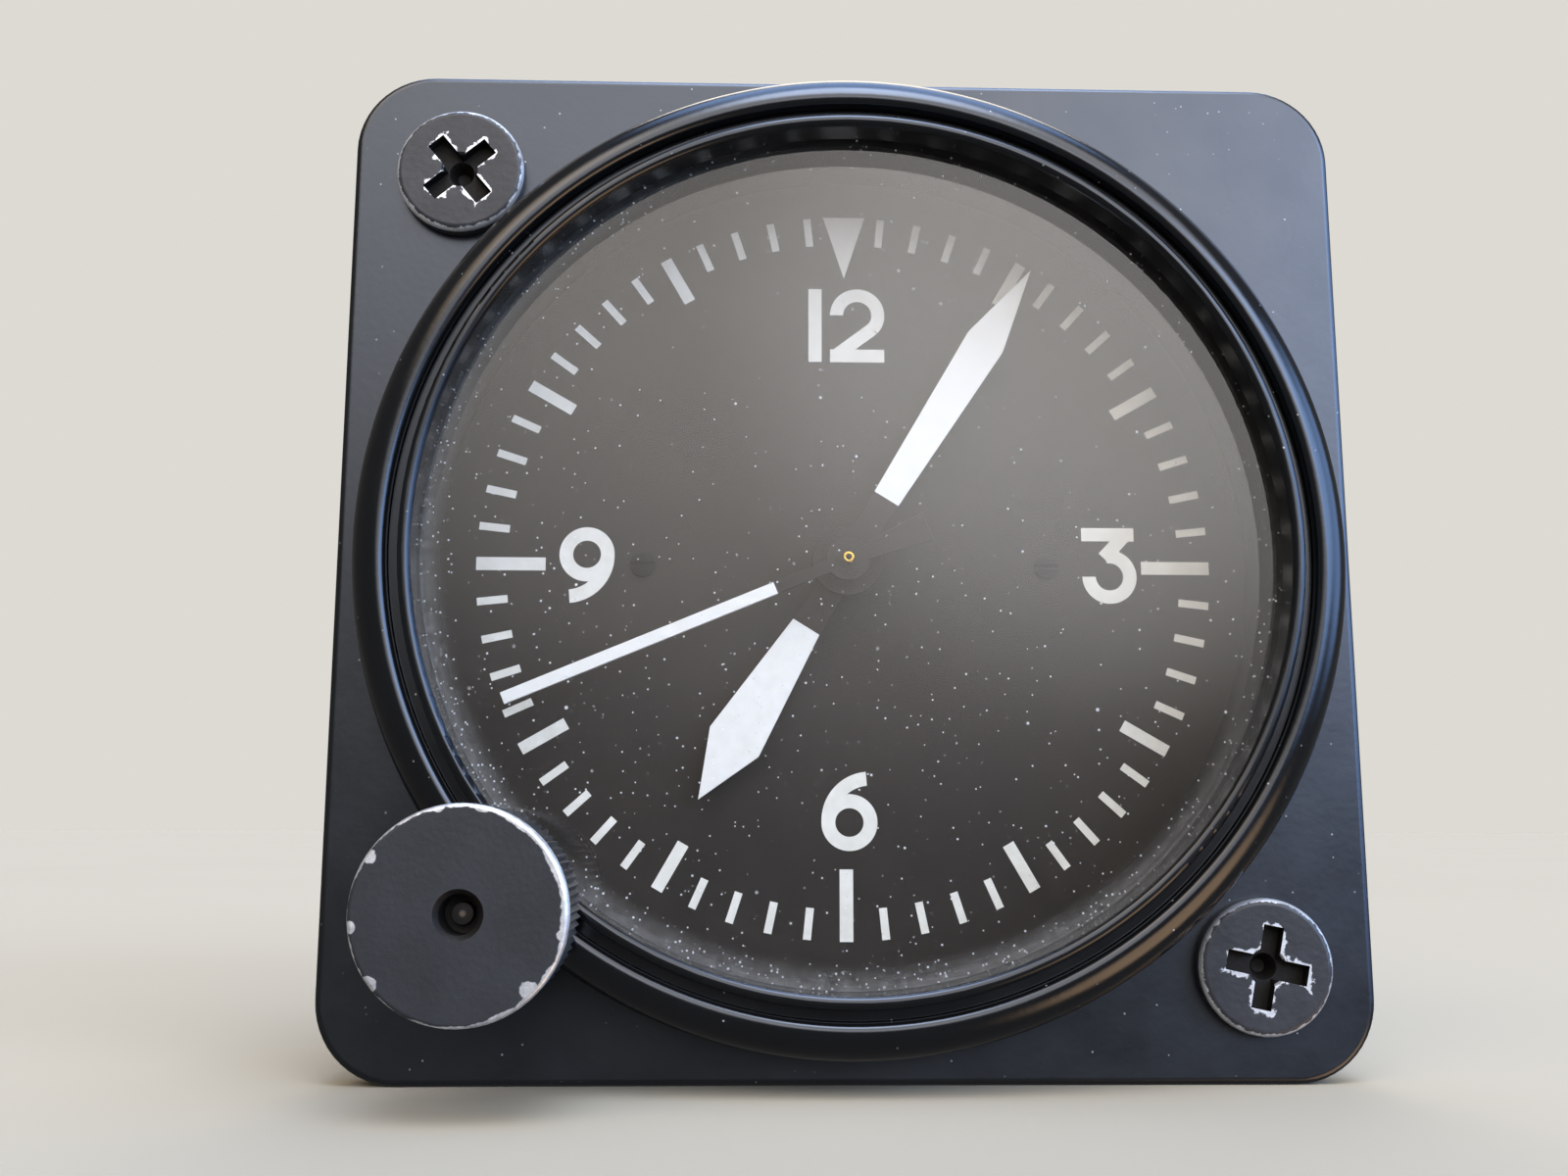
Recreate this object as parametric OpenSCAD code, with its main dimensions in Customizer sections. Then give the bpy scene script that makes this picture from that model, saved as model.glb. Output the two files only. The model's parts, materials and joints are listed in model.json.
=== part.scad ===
// Panel clock for a 2-1/4 inch instrument hole, with an eight-day movement, sweep seconds and one knob.
// Millimetres. Dial frame: x right, y up, z towards the viewer, z = 0 on the back of the flange.
// The finished part stands upright: the dial faces -Y and 12 o'clock is +Z.

/* [Flange] */
// Side of the square flange
flange_side = 60.325; // [58:0.025:66]
// Thickness of the flange
flange_t = 3; // [2.4:0.1:4]
// Radius of the flange's corners
corner_r = 4.76; // [3:0.01:6]
// Rounding of the flange's front edge
edge_r = 0.45; // [0.2:0.05:0.8]
// Gap between a mounting screw's head and the rim
head_gap = 1.188; // [0.8:0.001:2]
// Radius of a mounting screw's thread
mount_screw_r = 1.75; // [1.6:0.05:1.9]
// Radius of a mounting screw's neck inside the flange
mount_neck_r = 1.5; // [1.2:0.05:1.55]
// Radius of a mounting screw's head
mount_head_r = 3.85; // [3:0.05:4.2]
// Height of a mounting screw's head
mount_head_h = 1.1; // [0.8:0.1:1.6]
// Length of a mounting screw under its head
mount_screw_len = 12.7; // [8:0.1:20]
// Width of a slot of the cross recess
recess_w = 1.15; // [0.8:0.05:1.4]
// Length of a slot of the cross recess
recess_len = 4.7; // [3:0.1:5.2]
// Depth of a slot of the cross recess
recess_depth = 0.8; // [0.4:0.05:1]
// Depth of the recess in its middle
recess_deep = 1.7; // [1:0.1:2.4]
// Turn of the cross recess of the upper left screw
left_turn = 40; // [0:1:89]
// Turn of the cross recess of the lower right screw
right_turn = -12; // [-45:1:45]

/* [Rim and glass] */
// Wall of the raised rim, from the retaining ring's bore outwards
rim_wall = 2.2; // [2.15:0.01:3]
// Height of the rim's crest over the flange
rim_h = 5.33; // [4.8:0.01:6]
// Rounding of the rim's outer shoulder
shoulder_r = 2.1; // [1.5:0.05:2.1]
// Width of the ledge that the glass and the retaining ring sit on
glass_seat = 1.4; // [1:0.01:1.5]
// Width of the groove between the rim and the retaining ring's lip
groove_w = 0.7; // [0.5:0.01:0.8]
// Width of the retaining ring's lip
lip_w = 0.75; // [0.4:0.01:0.9]
// How far the lip stands over the rim's crest
lip_rise = 0.23; // [0:0.01:0.4]
// Thickness of the retaining ring's foot
ring_foot_t = 0.7; // [0.5:0.05:0.9]
// Thickness of the glass
glass_t = 1.8; // [1.4:0.1:2]
// Depth of the glass under the rim's crest
glass_drop = 1.63; // [1.5:0.01:3]
// Thickness of the gasket under the glass
gasket_t = 0.6; // [0.4:0.1:0.8]
// Width of the ledge that the dial's edge lies under
dial_seat = 0.5; // [0.3:0.05:1]

/* [Case behind the panel] */
// Wall of the case barrel
barrel_wall = 2.8; // [2.4:0.05:3]
// Length of the case barrel behind the flange
barrel_len = 10; // [9.6:0.1:12]
// Room between the rear can and the widest wheel
train_gap = 0.75; // [0.5:0.05:2]
// Wall of the rear can
can_wall = 1; // [0.7:0.05:1.1]
// Depth of the rear can's end behind the flange
can_depth = 30.2; // [29:0.1:40]
// Thickness of the rear can's end
can_end_t = 1.2; // [0.8:0.1:2]
// Radius of a can screw's thread
can_screw_r = 0.9; // [0.7:0.05:1.1]
// Radius of a can screw's head
can_head_r = 1.7; // [1.4:0.05:1.9]
// Thickness of a can screw's head
can_head_t = 1; // [0.6:0.1:1.2]
// Distance of the can screws from the barrel's end
can_screw_inset = 2; // [1.95:0.05:2.3]

/* [Dial and hands] */
// Thickness of the dial
dial_t = 0.5; // [0.3:0.05:0.6]
// Depth of the dial's face under the flange's front
dial_drop = 3.5; // [3.4:0.05:3.6]
// Distance of each dial screw from the centre
dial_screw_x = 12.35; // [12:0.05:13]
// Radius of a dial screw's head
dial_head_r = 0.75; // [0.6:0.05:1]
// Minute hand's angle, clockwise from 12
minute_angle = 32; // [0:1:359]
// Hour hand's angle, clockwise from 12
hour_angle = 211.8; // [0:0.1:359.9]
// Seconds hand's angle, clockwise from 12
second_angle = 247.4; // [0:0.1:359.9]
// Length of the minute hand
minute_len = 21.7; // [18:0.1:22]
// Length of the hour hand
hour_len = 16.7; // [12:0.1:19]
// Length of the seconds hand
second_len = 21.9; // [18:0.1:23]
// Length of the seconds hand's tail
second_tail = 5.2; // [3:0.1:8]
// Thickness of the hands
hand_t = 0.25; // [0.15:0.05:0.3]

/* [Knob and stem] */
// Distance of the knob's axis outside the case's bore
stem_off = 2.885; // [2.8:0.005:3.4]
// Radius of the knob's front rim
knob_r = 5.4; // [4.5:0.05:6]
// Thickness of the knob's front rim
knob_rim_t = 0.5; // [0.4:0.05:1]
// How far the knurl lies inside the front rim
knurl_inset = 0.06; // [0:0.01:0.2]
// Height of the knob
knob_h = 6.4; // [5:0.1:8]
// Gap between the rim's crest and the knob
knob_gap = 0.77; // [0.5:0.01:2]
// Number of ridges of the knurl
knurl_n = 80; // [40:1:100]
// Depth of the knurl
knurl_depth = 0.22; // [0.1:0.02:0.3]
// Radius of the hole in the knob's face
knob_hole_r = 1; // [0.6:0.05:1.1]
// Radius of the stem
stem_r = 1.2; // [1.15:0.05:1.3]
// How far the knob pulls out
pull = 1.4; // [1.2:0.05:1.5]
// Radius of the boss round the stem behind the flange
boss_r = 4.2; // [3.8:0.1:4.6]
// Outer radius of the stem's bush
bush_r = 1.9; // [1.7:0.05:2]

/* [Movement] */
// Thickness of each movement plate
plate_t = 1.8; // [1.4:0.1:1.8]
// Space between dial and front plate
under_dial = 3.2; // [3.2:0.05:3.4]
// Space between the plates
train_space = 16.5; // [16.5:0.1:20]
// Room between the rear plate and the rear can
rear_plate_gap = 1.8; // [1:0.1:2.2]
// Distance of the pillars from the rear plate's edge
pillar_inset = 2.2; // [1.9:0.1:2.6]
// Radius of a pillar
pillar_r = 1.5; // [1.2:0.1:1.7]
// Distance of the mainspring barrel from the centre
drum_at = 13.6; // [13.5:0.05:13.8]
// Outer radius of the mainspring drum
drum_r = 9.2; // [8.6:0.05:9.3]
// Wall of the mainspring drum
drum_wall = 0.6; // [0.4:0.05:0.8]
// Direction of the third wheel from the centre
third_dir = 75; // [70:1:85]
// Direction of the escape wheel from the centre
escape_dir = 165; // [160:1:168]
// Distance of the balance from the centre
balance_at = 15; // [14.8:0.05:15.2]
// Direction of the balance from the centre
balance_dir = 135; // [132:1:137]
// Radius of the balance
balance_r = 6.3; // [5.6:0.05:6.4]
// Radius of the escape wheel
escape_r = 4.2; // [3.8:0.05:4.3]
// Thickness of the train wheels
wheel_t = 0.5; // [0.4:0.05:0.6]

/* [Hidden] */
$fn = 96;
// Clearances: pressed or seated pieces, running pieces, and pieces that must stay apart
fit = 0.03;
run = 0.05;
apart = 0.1;

// Heights of the case
crest_z = flange_t + rim_h;
glass_top = crest_z - glass_drop;
glass_low = glass_top - glass_t;
ledge_z = glass_low - gasket_t;
dial_z = flange_t - dial_drop;
dial_back = dial_z - dial_t;
plate_front = dial_back - under_dial;
plate_back = plate_front - plate_t;
rear_front = plate_back - train_space;
rear_back = rear_front - plate_t;

// Tooth shape, as shares of the module and of the tooth pitch
add = 0.85;
ded = 1.2;
tip_share = 0.22;
root_share = 0.56;

// Radii of the case, from the great wheel's reach outwards
great_n = 72;
great_m = 0.27;
can_in_r = drum_at + tip(great_n, great_m) + train_gap;
can_r = can_in_r + can_wall;
case_bore_r = can_r + 2 * run;
plate_r = case_bore_r - 4 * run;
rear_plate_r = can_in_r - rear_plate_gap;
pillar_at = rear_plate_r - pillar_inset;
dial_r = plate_r;
sight_r = dial_r - dial_seat;
rim_bore_r = sight_r + glass_seat;
glass_r = rim_bore_r - 2 * apart;
lip_r = rim_bore_r - groove_w;
ring_bore_r = lip_r - lip_w;
rim_r = rim_bore_r + rim_wall;
barrel_r = case_bore_r + barrel_wall;
can_gasket_w = 1;
can_gasket_t = 1;
can_screw_z = barrel_len - can_screw_inset;
can_head_sink = 0.2;
can_slot_w = 0.4;
mount_at = (rim_r + mount_head_r + head_gap) / sqrt(2);
mount_hole_r = mount_screw_r + 0.15;
mount_edge = 0.4;

// Knob and stem
knob_at = (case_bore_r + stem_off) / sqrt(2);
S = [-knob_at, -knob_at];
knob_low = crest_z + knob_gap;
knob_top = knob_low + knob_h;
knob_foot = 0.4;
stem_top = knob_top - 2.1;
chamber_top = dial_back + 0.4;
tail_r = 0.7;
tail_len = 2.3;
boss_len = -plate_front + tail_len + pull;
bush_top = knob_low - 0.6;

// Winding train: module, teeth and places
wind_m = 0.4;
wind_pinion_n = 10;
wind_wheel_n = 28;
ratchet_n = 30;
wind_t = 0.8;
wind_z = plate_front + 2 * apart;
wind_d1 = (wind_pinion_n + wind_wheel_n) * wind_m / 2;
wind_d2 = (wind_wheel_n + ratchet_n) * wind_m / 2;
O = [0, 0];
B = meet(O, drum_at, S, wind_d1 + wind_d2, 1);
W = along(S, B, wind_d1);
wind_tip = tip(wind_pinion_n, wind_m);

// Motion work
motion_m = 0.3;
cannon_n = 12;
minute_n = 36;
minute_pinion_n = 10;
hour_n = 40;
setting_n = 48;
motion_d = (cannon_n + minute_n) * motion_m / 2;
hour_m = 2 * motion_d / (minute_pinion_n + hour_n);
setting_d = (minute_n + setting_n) * motion_m / 2;
setting_z = wind_z + pull - apart;
setting_t = 0.6;
hour_z = setting_z + setting_t + 0.15;
hour_t = 0.55;
// The setting wheel stands just clear of the pulled-out winding pinion
setting_dir = 62;
setting_reach = tip(setting_n, motion_m) + wind_tip + 0.23;
C = polar(S, setting_reach, setting_dir);
M = meet(O, motion_d, C, setting_d, 1);

// Going train
inter_pinion_n = 9;
inter_n = 48;
inter_m = 0.3;
centre_pinion_n = 12;
centre_n = 80;
centre_m = 0.2;
third_pinion_n = 10;
third_n = 75;
second_pinion_n = 10;
fourth_n = 80;
fourth_m = 0.2;
escape_pinion_n = 8;
escape_n = 15;
inter_d = (inter_n + centre_pinion_n) * inter_m / 2;
third_d = (centre_n + third_pinion_n) * centre_m / 2;
third_m = 2 * third_d / (third_n + second_pinion_n);
escape_d = (fourth_n + escape_pinion_n) * fourth_m / 2;
great_d = (great_n + inter_pinion_n) * great_m / 2;
I = meet(O, inter_d, B, great_d, 1);
T = polar(O, third_d, third_dir);
E = polar(O, escape_d, escape_dir);
A = polar(O, balance_at, balance_dir);
// The hairspring's inner and outer radius, and its stud
coil_in = 1;
coil_out = 4.1;
coil_turns = 7;
coil_band = 0.12;
stud_r = 0.4;
H = polar(A, coil_out + 0.5, 100);

// Heights in the train, counted back from the front plate, and how far a pinion's leaves pass its wheel
leaf = 0.3;
centre_z = plate_back - 0.6 - wheel_t;
inter_z = centre_z - 1 - 0.6;
inter_t = 0.6;
great_t = 1;
great_z = inter_z - 1.3 - great_t;
drum_back = rear_front + 1.7;
third_z = great_z - 1 - wheel_t;
fourth_z = rear_front + 0.7;
escape_z = rear_front + 5.5;
fork_t = 0.6;
bridge_z = escape_z + fork_t + 1;
bridge_t = 0.8;
balance_z = bridge_z + bridge_t + 0.6;
balance_t = 1;
spring_z = balance_z + balance_t + 2.8;
spring_h = 0.5;

// Lightening holes of the wheels, and the narrowest web between them
wheel_holes = 5;
wheel_hub_r = 1.6;
spoke = 1;

// Arbors and pivots
arbor_r = 0.5;
slim_r = 0.35;
pivot_r = 0.25;
pivot_len = 1.2;
shoulder = 0.2;
main_turns = 8;
main_band = 0.25;
spiral_steps = 24;
drum_arbor_r = 1.5;
drum_core_r = 2.2;
square_w = 2;
post_r = 0.6;
wind_post_r = 1;
post_deep = 0.8;
second_r = 0.35;
second_tip_r = 0.15;
pipe_r = 0.33;
centre_bore_r = second_r + 0.07;
centre_r = centre_bore_r + 0.3;
cannon_pipe_r = 1.05;
hour_bore_r = cannon_pipe_r + 0.08;
hour_pipe_r = hour_bore_r + 0.32;
dial_hole_r = hour_pipe_r + 0.4;

// Small screws, posts and bushes of the movement
dial_thread_r = 0.5;
dial_thread_len = 2;
dial_slot_w = 0.2;
dial_head_h = 0.2;
dial_post_r = 1.3;
pillar_thread_r = 0.7;
pillar_thread_len = 2.5;
pillar_head_r = 1.4;
pillar_head_h = 0.8;
bridge_thread_r = 0.5;
ratchet_thread_r = 0.55;
grub_r = 0.8;
grub_up = 2;
centre_bush_r = 2;
spacer_wall = 1.6;

// Hands: heights over the dial, hub radii and blades
hour_hand_z = dial_z + 0.95;
minute_hand_z = hour_hand_z + 0.75;
second_hand_z = minute_hand_z + 0.75;
pipe_top = second_hand_z + hand_t + 0.55;
hand_hub_r = 2.1;
second_hub_r = 1.3;
second_w = 0.73;
tail_w = 1.8;
// Shank width, then distance from the centre and width of the blade's inner end and of its shoulders
minute_blade = [1.3, 4.5, 1.7, 16.2, 2.48];
hour_blade = [1.5, 4.6, 1.85, 12.7, 3.4];

// Pallet fork between escape wheel and balance
fork_dir = aim(E, A);
fork_hub_r = 0.6;
fork_d = escape_r + fork_hub_r + 0.3;
P = polar(E, fork_d, fork_dir);
roller_r = 1.5;
pin_at = 1.2;
pin_r = 0.15;
fork_len = far(P, A) - pin_at - pin_r - 0.15;
bridge_foot = 3.9;
Q = polar(P, bridge_foot, fork_dir + 90);

// Click beside the ratchet wheel
click_dir = -15;
click_at = 9.4;
K = polar(B, click_at, click_dir);
nose_turn = 25;
N = polar(B, tip(ratchet_n, wind_m) + 0.12, click_dir + nose_turn);
F = polar(K, 4.8, click_dir + 65);

pillar_dirs = [20, 105, 185, 320];
can_screw_dirs = [30, 150, 270];

// Plane geometry
function polar(p, r, a) = [p[0] + r * cos(a), p[1] + r * sin(a)];
function far(p, q) = norm([q[0] - p[0], q[1] - p[1]]);
function aim(p, q) = atan2(q[1] - p[1], q[0] - p[0]);
function along(p, q, d) = polar(p, d, aim(p, q));
// The point at distance rp from p and rq from q, to the left (side 1) or right (side -1) of the line p to q
function meet(p, rp, q, rq, side) =
    polar(p, rp, aim(p, q) + side * acos((rp * rp + far(p, q) * far(p, q) - rq * rq) / (2 * rp * far(p, q))));

// Gear geometry: tip and root radius, a tooth's corners, and the phase that puts gear 2 in mesh with gear 1
function tip(n, m) = (n / 2 + add) * m;
function root(n, m) = (n / 2 - ded) * m;
function tooth(n, m, i) = [
    polar(O, root(n, m), (i - root_share / 2) * 360 / n),
    polar(O, tip(n, m), (i - tip_share / 2) * 360 / n),
    polar(O, tip(n, m), (i + tip_share / 2) * 360 / n),
    polar(O, root(n, m), (i + root_share / 2) * 360 / n)
];
function teeth(n, m) = [for (i = [0:n - 1]) each tooth(n, m, i)];
function mesh(n1, phase1, n2, p1, p2) =
    aim(p1, p2) + 180 - (0.5 - n1 * (aim(p1, p2) - phase1) / 360) * 360 / n2;

wind_wheel_phase = mesh(wind_pinion_n, 0, wind_wheel_n, S, W);
ratchet_phase = mesh(wind_wheel_n, wind_wheel_phase, ratchet_n, W, B);
minute_phase = mesh(cannon_n, 0, minute_n, O, M);
setting_phase = mesh(minute_n, minute_phase, setting_n, M, C);
hour_phase = mesh(minute_pinion_n, 0, hour_n, M, O);
inter_pinion_phase = mesh(great_n, 0, inter_pinion_n, B, I);
centre_pinion_phase = mesh(inter_n, 0, centre_pinion_n, I, O);
third_pinion_phase = mesh(centre_n, 0, third_pinion_n, O, T);
second_pinion_phase = mesh(third_n, 0, second_pinion_n, T, O);
escape_pinion_phase = mesh(fourth_n, 0, escape_pinion_n, O, E);

// Shared shapes, all in the dial frame
module upright() {
    rotate([90, 0, 0])
        children();
}
module rod(p, r, z0, z1) {
    translate([p[0], p[1], z0])
        cylinder(r = r, h = z1 - z0);
}
module pipe(p, r_out, r_in, z0, z1) {
    difference() {
        rod(p, r_out, z0, z1);
        rod(p, r_in, z0 - 1, z1 + 1);
    }
}
module gear(p, n, m, phase, z0, z1) {
    translate([p[0], p[1], z0])
        rotate(phase)
            linear_extrude(z1 - z0)
                polygon(teeth(n, m));
}
// A wheel with a bore and round lightening holes
module wheel(p, n, m, phase, z0, z1, bore_r) {
    rim_in = root(n, m) - 2.5 * m;
    hole_at = (rim_in + wheel_hub_r) / 2;
    hole_r = min((rim_in - wheel_hub_r) / 2, hole_at * sin(180 / wheel_holes) - spoke / 2);
    difference() {
        gear(p, n, m, phase, z0, z1);
        rod(p, bore_r, z0 - 1, z1 + 1);
        for (i = [0:wheel_holes - 1])
            rod(polar(p, hole_at, phase + i * 360 / wheel_holes), hole_r, z0 - 1, z1 + 1);
    }
}
// An arbor with a pivot at each end, between the plates
module arbor(p, r) {
    rod(p, r, rear_front + shoulder, plate_back - shoulder);
    rod(p, pivot_r, rear_front + shoulder - pivot_len, plate_back - shoulder + pivot_len);
}
// A bar of a given width from p to q
module bar(p, q, w, z0, z1) {
    translate([p[0], p[1], z0])
        rotate(aim(p, q))
            translate([0, -w / 2, 0])
                cube([far(p, q), w, z1 - z0]);
}
// A flat spiral band
module spiral(p, r0, r1, turns, band, z0, z1) {
    n = turns * spiral_steps;
    translate([p[0], p[1], z0])
        linear_extrude(z1 - z0)
            polygon(concat(
                [for (i = [0:n]) polar(O, r0 + (r1 - r0) * i / n + band / 2, i * 360 / spiral_steps)],
                [for (i = [n:-1:0]) polar(O, r0 + (r1 - r0) * i / n - band / 2, i * 360 / spiral_steps)]
            ));
}
// Half section of a round plate whose front edge is rounded
module round_edge(r, z0, z1, e) {
    translate([0, z0])
        square([r - e, z1 - z0]);
    translate([0, z0])
        square([r, z1 - z0 - e]);
    translate([r - e, z1 - e])
        circle(r = e);
}
// A hand's outline: hub, shank and a blade that widens to its shoulders and runs to a point
module hand(angle, z, bore_r, blade, len) {
    shank = blade[0] / 2;
    inner = blade[2] / 2;
    outer = blade[4] / 2;
    translate([0, 0, z])
        rotate(-angle)
            difference() {
                union() {
                    cylinder(r = hand_hub_r, h = hand_t);
                    linear_extrude(hand_t)
                        polygon([
                            [-shank, 0], [-inner, blade[1]], [-outer, blade[3]], [0, len],
                            [outer, blade[3]], [inner, blade[1]], [shank, 0]
                        ]);
                }
                translate([0, 0, -1])
                    cylinder(r = bore_r, h = hand_t + 2);
            }
}
module screw(p, r, len, head_r, head_h, z) {
    rod(p, head_r, z, z + head_h);
    rod(p, r, z - len, z + head_h / 2);
}

// Room for the two wheels under the dial that reach past the movement's edge
module wheel_room() {
    wind_room_r = tip(wind_wheel_n, wind_m) + 2 * apart;
    setting_room_r = tip(setting_n, motion_m) + 2 * apart;
    rod(W, wind_room_r, plate_front - apart, wind_z + wind_t + 2 * apart);
    rod(C, setting_room_r, setting_z - 2 * apart, setting_z + setting_t + 2 * apart);
}

// Case
module flange_plate() {
    a = flange_side / 2 - corner_r;
    for (q = [0:3])
        rotate(90 * q)
            translate([a, a, 0])
                rotate_extrude(angle = 90)
                    round_edge(corner_r, 0, flange_t, edge_r);
    for (q = [0:3])
        rotate(90 * q)
            translate([0, a, 0])
                rotate([90, 0, 90])
                    translate([0, 0, -a])
                        linear_extrude(2 * a)
                            round_edge(corner_r, 0, flange_t, edge_r);
    translate([-a, -a, 0])
        cube([2 * a, 2 * a, flange_t]);
}
module rim_blank() {
    rotate_extrude()
        round_edge(rim_r, flange_t / 2, crest_z, shoulder_r);
}
module can_screw_place(dir) {
    rotate(dir)
        translate([0, 0, -can_screw_z])
            rotate([0, 90, 0])
                children();
}
module case_casting() {
    color("#26282b")
        upright()
            difference() {
                union() {
                    flange_plate();
                    rim_blank();
                    rod(O, barrel_r, -barrel_len, flange_t / 2);
                    rod(S, boss_r, -boss_len, flange_t / 2);
                }
                rod(O, rim_bore_r, ledge_z, crest_z + 1);
                rod(O, sight_r, dial_z - 1, crest_z);
                rod(O, case_bore_r, -barrel_len - 1, dial_z);
                rod(O, case_bore_r + can_gasket_w, -barrel_len - 1, can_gasket_t - barrel_len);
                rod(S, bush_r + fit, chamber_top - apart, crest_z + 1);
                rod(S, wind_tip + 0.4, plate_front - apart, chamber_top);
                rod(S, tail_r + run, -boss_len + 0.6, plate_front);
                wheel_room();
                for (s = [-1, 1])
                    rod([s * mount_at, -s * mount_at], mount_hole_r, -1, flange_t + 1);
                for (d = can_screw_dirs)
                    can_screw_place(d) {
                        translate([0, 0, can_r - 1])
                            cylinder(r = can_screw_r + fit, h = barrel_wall + 1);
                        translate([0, 0, barrel_r - can_head_t - can_head_sink])
                            cylinder(r = can_head_r + apart, h = can_head_t + 1);
                    }
            }
}
module retaining_ring() {
    color("#1b1c1e")
        upright() {
            pipe(O, rim_bore_r - run, ring_bore_r, glass_top, glass_top + ring_foot_t);
            rotate_extrude() {
                translate([ring_bore_r, glass_top])
                    square([lip_w, crest_z + lip_rise - lip_w / 2 - glass_top]);
                translate([lip_r - lip_w / 2, crest_z + lip_rise - lip_w / 2])
                    circle(r = lip_w / 2);
            }
        }
}
module glass() {
    color("#dfe8ea", 0.3)
        upright()
            rod(O, glass_r, glass_low, glass_top);
}
module glass_gasket() {
    color("#202020")
        upright()
            pipe(O, glass_r, sight_r, ledge_z, glass_low);
}
module rear_can() {
    color("#2c2e31")
        upright()
            difference() {
                rotate([180, 0, 0])
                    rotate_extrude()
                        round_edge(can_r, -plate_back, can_depth, 1);
                rod(O, can_in_r, can_end_t - can_depth, 0);
                for (d = can_screw_dirs)
                    can_screw_place(d)
                        translate([0, 0, can_in_r - 1])
                            cylinder(r = can_screw_r + fit, h = can_wall + 2);
            }
}
module can_gasket() {
    color("#202020")
        upright()
            pipe(O, case_bore_r + can_gasket_w - fit, can_r + fit, -barrel_len, can_gasket_t - barrel_len);
}
module can_screws() {
    color("#8d9094")
        upright()
            for (d = can_screw_dirs)
                can_screw_place(d)
                    difference() {
                        union() {
                            translate([0, 0, can_in_r - 0.3])
                                cylinder(r = can_screw_r, h = barrel_r - can_in_r - can_head_t / 2);
                            translate([0, 0, barrel_r - can_head_t - can_head_sink])
                                cylinder(r = can_head_r, h = can_head_t);
                        }
                        translate([-can_head_r, -can_slot_w / 2, barrel_r - can_head_sink - can_head_t / 2])
                            cube([2 * can_head_r, can_slot_w, can_head_t]);
                    }
}
// A cross recess cut down from z = 0, deeper in its middle
module cross_recess() {
    for (t = [0, 90])
        rotate(t)
            translate([-recess_len / 2, -recess_w / 2, -recess_depth])
                cube([recess_len, recess_w, recess_depth + 1]);
    translate([0, 0, -recess_deep])
        cylinder(r1 = recess_w / 3, r2 = recess_w, h = recess_deep + 0.1);
}
// Captive screws: the neck inside the flange is thinner than the thread behind it
module mounting_screws() {
    color("#3a3d40")
        upright()
            for (s = [-1, 1])
                translate([s * mount_at, -s * mount_at, 0])
                    difference() {
                        union() {
                            rotate_extrude()
                                round_edge(mount_head_r, flange_t, flange_t + mount_head_h, mount_edge);
                            rod(O, mount_neck_r, -0.1, flange_t + 0.1);
                            rod(O, mount_screw_r, flange_t - mount_screw_len, 0);
                        }
                        translate([0, 0, flange_t + mount_head_h])
                            rotate(s < 0 ? left_turn : right_turn)
                                cross_recess();
                    }
}

// Dial and what carries it
module dial() {
    color("#2b2a29")
        upright()
            difference() {
                rod(O, dial_r, dial_back, dial_z);
                rod(O, dial_hole_r, dial_back - 1, dial_z + 1);
                for (s = [-1, 1])
                    rod([s * dial_screw_x, 0], dial_thread_r + run, dial_back - 1, dial_z + 1);
            }
}
module dial_screws() {
    color("#1d1d1e")
        upright()
            for (s = [-1, 1])
                translate([s * dial_screw_x, 0, dial_z])
                    difference() {
                        screw(O, dial_thread_r, dial_thread_len, dial_head_r, dial_head_h, 0);
                        translate([-dial_head_r, -dial_slot_w / 2, dial_head_h / 2])
                            cube([2 * dial_head_r, dial_slot_w, dial_head_h]);
                    }
}
module dial_posts() {
    color("#b08d57")
        upright()
            for (s = [-1, 1]) {
                at = [s * dial_screw_x, 0];
                difference() {
                    rod(at, dial_post_r, plate_front, dial_back);
                    rod(at, dial_thread_r + fit, dial_back - dial_thread_len, dial_back + 1);
                }
            }
}
module spacer_ring() {
    color("#a8853f")
        upright()
            difference() {
                pipe(O, plate_r, plate_r - spacer_wall, plate_front, dial_back);
                wheel_room();
            }
}
module plate_holes(z0, z1) {
    for (p = [I, T, E, A])
        rod(p, pivot_r + run, z0, z1);
    rod(B, drum_arbor_r + run, z0, z1);
    for (d = pillar_dirs)
        rod(polar(O, pillar_at, d), pillar_thread_r + fit, z0, z1);
}
module front_plate() {
    color("#b8964c")
        upright()
            difference() {
                rod(O, plate_r, plate_back, plate_front);
                plate_holes(plate_back - 1, plate_front + 1);
                rod(O, centre_bush_r + fit, plate_back - 1, plate_front + 1);
                rod(W, wind_post_r, plate_front - post_deep, plate_front + 1);
                for (p = [M, C, K, F])
                    rod(p, post_r, plate_front - post_deep, plate_front + 1);
                rod(H, stud_r + fit, plate_back - 1, plate_back + post_deep);
            }
}
module rear_plate() {
    color("#b8964c")
        upright()
            difference() {
                rod(O, rear_plate_r, rear_back, rear_front);
                plate_holes(rear_back - 1, rear_front + 1);
                for (p = [O, P])
                    rod(p, pivot_r + run, rear_back - 1, rear_front + 1);
                rod(Q, bridge_thread_r + fit, rear_back - 1, rear_front + 1);
            }
}
module pillars() {
    color("#b8964c")
        upright()
            for (d = pillar_dirs)
                difference() {
                    rod(polar(O, pillar_at, d), pillar_r, rear_front, plate_back);
                    rod(polar(O, pillar_at, d), pillar_thread_r + fit, plate_back - 3, plate_back + 1);
                    rod(polar(O, pillar_at, d), pillar_thread_r + fit, rear_front - 1, rear_front + 3);
                }
}
module pillar_screws() {
    color("#7f8489")
        upright()
            for (d = pillar_dirs) {
                at = polar(O, pillar_at, d);
                reach = plate_t + pillar_thread_len;
                screw(at, pillar_thread_r, reach, pillar_head_r, pillar_head_h, plate_front);
                rod(at, pillar_head_r, rear_back - pillar_head_h, rear_back);
                rod(at, pillar_thread_r, rear_back - pillar_head_h / 2, rear_back + reach);
            }
}
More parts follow.
